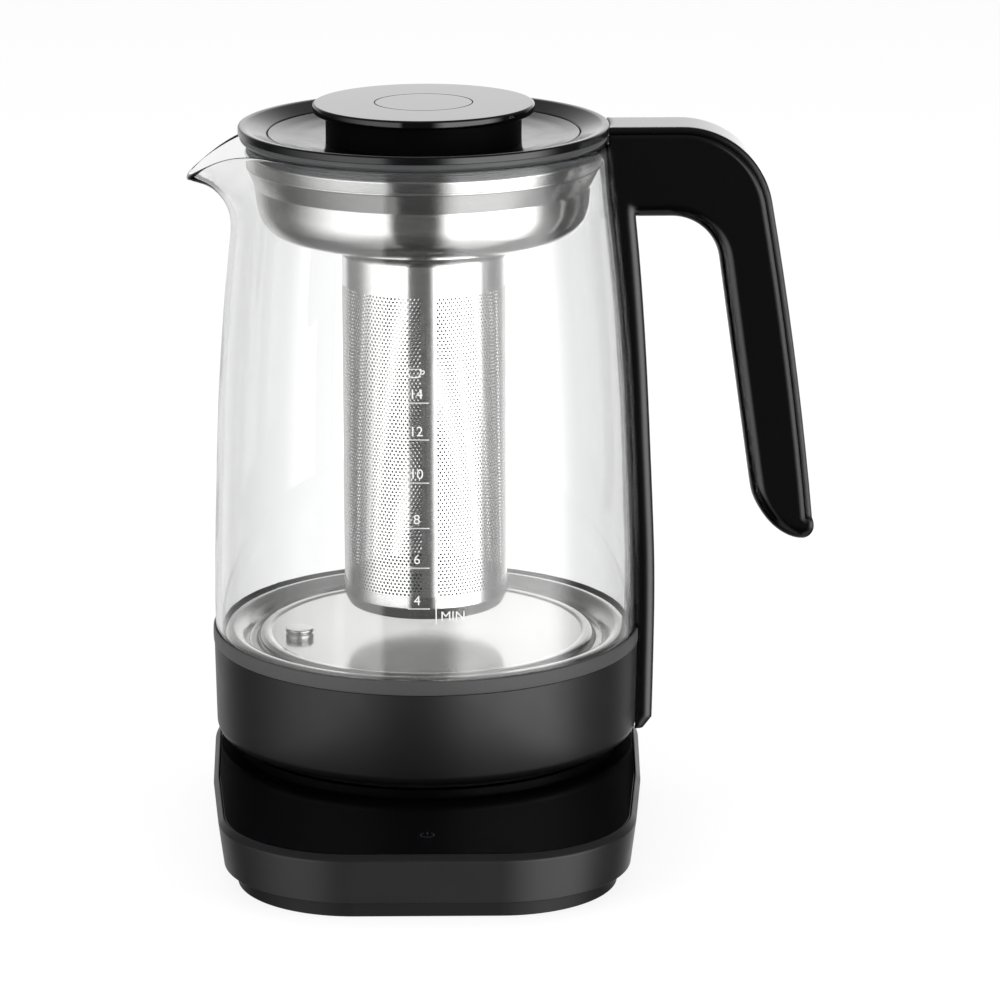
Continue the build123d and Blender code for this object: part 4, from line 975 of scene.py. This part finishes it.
def studio_world(scene):
    """A white room for the eye and through glass; gloss shows soft boxes left, right and behind."""
    world = bpy.data.worlds.new("studio")
    scene.world = world
    world.cycles.sampling_method = "NONE"
    tree = bare_tree(world)
    way = add_node(tree, "TexCoord").outputs["Generated"]
    across, depth, up = add_node(tree, "SeparateXYZ", {"Vector": way}).outputs
    front = add_node(tree, "Math", {0: depth, 1: -1.0}, operation="MULTIPLY")
    turn = add_node(tree, "Math", {0: across, 1: front}, operation="ARCTAN2")
    signed = add_node(tree, "Math", {0: turn}, operation="DEGREES")
    azimuth = add_node(tree, "Math", {0: signed, 1: AZIMUTH_END, 2: AZIMUTH_END - 360.0}, operation="WRAP")
    off_front = add_node(tree, "Math", {0: signed}, operation="ABSOLUTE")
    lit = [((azimuth, *start, 0.0, strength), (azimuth, *end, 1.0, 0.0), (up, *BOX_TOP, 1.0, above))
           for start, end, strength, above in SOFT_BOXES] + [((off_front, *SIDE_WALLS),)]
    level = ROOM_LEVEL
    for edges in lit:
        level = add_node(tree, "Math", {0: soft_edges(tree, *edges), 1: level}, operation="ADD")
    table = add_node(tree, "Math", {0: level, 1: soft_edges(tree, (up, *TABLE_EDGE))}, operation="MULTIPLY")
    room = add_node(tree, "Mix", {0: soft_edges(tree, (up, *CEILING_EDGE)), 2: table, 3: CEILING_LEVEL},
                    data_type="FLOAT")
    path = add_node(tree, "LightPath").outputs
    turned_back = add_node(tree, "Math", {0: path["Transmission Depth"], 1: 2.0, 2: 0.5}, operation="COMPARE")
    wall = add_node(tree, "Math", {0: turned_back, 1: GLASS_GLOW}, operation="MULTIPLY")
    gloss = add_node(tree, "Math", {0: room, 1: wall}, operation="MAXIMUM")
    dull = add_node(tree, "Mix", {0: path["Diffuse Depth"], 2: 1.0, 3: BOUNCE_LEVEL}, data_type="FLOAT")
    strength = add_node(tree, "Mix", {0: path["Glossy Depth"], 2: dull, 3: gloss}, data_type="FLOAT")
    light = add_node(tree, "Background", {"Color": linear("#ffffff"), "Strength": strength})
    add_node(tree, "OutputWorld", {"Surface": light})


def white_sweep():
    """A white sweep: its own white to the eye, a little shade from what stands on it, and clear to gloss."""
    material = bpy.data.materials.new("white_sweep")
    tree = bare_tree(material)
    paint = add_node(tree, "BsdfDiffuse", {"Color": linear("#ffffff")})
    glow = add_node(tree, "Emission", {"Color": linear("#ffffff"), "Strength": 1.0})
    white = add_node(tree, "MixShader", {0: FLOOR_GLOW, 1: paint, 2: glow})
    clear = add_node(tree, "BsdfTransparent")
    path = add_node(tree, "LightPath").outputs
    eye = add_node(tree, "Math", {0: path["Is Camera Ray"], 1: path["Is Transmission Ray"]},
                   operation="MAXIMUM")
    shown = add_node(tree, "MixShader", {0: eye, 1: paint, 2: white})
    mirrored = add_node(tree, "Math", {0: path["Glossy Depth"], 1: 1.0}, operation="MINIMUM")
    surface = add_node(tree, "MixShader", {0: mirrored, 1: shown, 2: clear})
    add_node(tree, "OutputMaterial", {"Surface": surface})
    return material


class TEAMAKER_OT_stage(bpy.types.Operator):
    """Set the stage: a pale floor, a white room, soft lamps and the camera"""
    bl_idname = "tea_maker.stage"
    bl_label = "Stage"

    def execute(self, context):
        scene = context.scene
        scene.view_settings.view_transform = "Standard"
        studio_world(scene)
        bm = bmesh.new()
        bmesh.ops.create_circle(bm, cap_ends=True, segments=96, radius=6.0)
        floor = placed("floor", bm)
        floor.data.materials.append(white_sweep())
        floor.location.z = CAD_BOX[0][2] - FLOOR_GAP
        for name, place, width, height, power in LAMPS:
            lamp = bpy.data.lights.new(name, "AREA")
            lamp.shape, lamp.size, lamp.size_y, lamp.energy = "RECTANGLE", width, height, power
            holder = placed(name, lamp)
            holder.location = place
            holder.rotation_euler = (LAMP_AIM - Vector(place)).to_track_quat("-Z", "Y").to_euler()
            holder.visible_camera = holder.visible_transmission = holder.visible_glossy = False
        camera = bpy.data.cameras.new("camera")
        camera.lens, camera.sensor_width, camera.shift_x, camera.clip_end = 165.6, 36.0, 0.0744, 50.0
        eye = placed("camera", camera)
        eye.location = CAMERA_PLACE
        turn = Matrix.Rotation(CAMERA_TILT, 3, "X") @ Matrix.Rotation(CAMERA_ROLL, 3, "Z")
        eye.rotation_euler = turn.to_euler()
        scene.camera = eye
        return {"FINISHED"}


# ---- panel and running


class TEAMAKER_PT_panel(bpy.types.Panel):
    """Lists the settings and the makers of the tea maker's pieces"""
    bl_idname = "TEAMAKER_PT_panel"
    bl_label = "Tea maker"
    bl_space_type = "VIEW_3D"
    bl_region_type = "UI"
    bl_category = "Tea maker"

    def draw(self, context):
        for group in (context.scene.tea_maker_colours, context.scene.tea_maker_sizes):
            box = self.layout.box()
            for name in group.__annotations__:
                box.prop(group, name)
        for maker in MAKERS:
            self.layout.operator(maker.bl_idname)


MAKERS = [TEAMAKER_OT_stage, TEAMAKER_OT_base, TEAMAKER_OT_electrics, TEAMAKER_OT_collar, TEAMAKER_OT_heater,
          TEAMAKER_OT_glass, TEAMAKER_OT_scale, TEAMAKER_OT_handle, TEAMAKER_OT_infuser, TEAMAKER_OT_lid]
CLASSES = [TeaMakerColours, TeaMakerSizes, *MAKERS, TEAMAKER_PT_panel]


def register():
    for cls in CLASSES:
        bpy.utils.register_class(cls)
    bpy.types.Scene.tea_maker_colours = bpy.props.PointerProperty(type=TeaMakerColours)
    bpy.types.Scene.tea_maker_sizes = bpy.props.PointerProperty(type=TeaMakerSizes)


def unregister():
    del bpy.types.Scene.tea_maker_sizes
    del bpy.types.Scene.tea_maker_colours
    for cls in reversed(CLASSES):
        bpy.utils.unregister_class(cls)


def main():
    """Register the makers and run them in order."""
    register()
    FINISHES.update(make_finishes(bpy.context.scene.tea_maker_colours))
    for maker in MAKERS:
        group, name = maker.bl_idname.split(".")
        getattr(getattr(bpy.ops, group), name)()


if __name__ == "__main__":
    main()
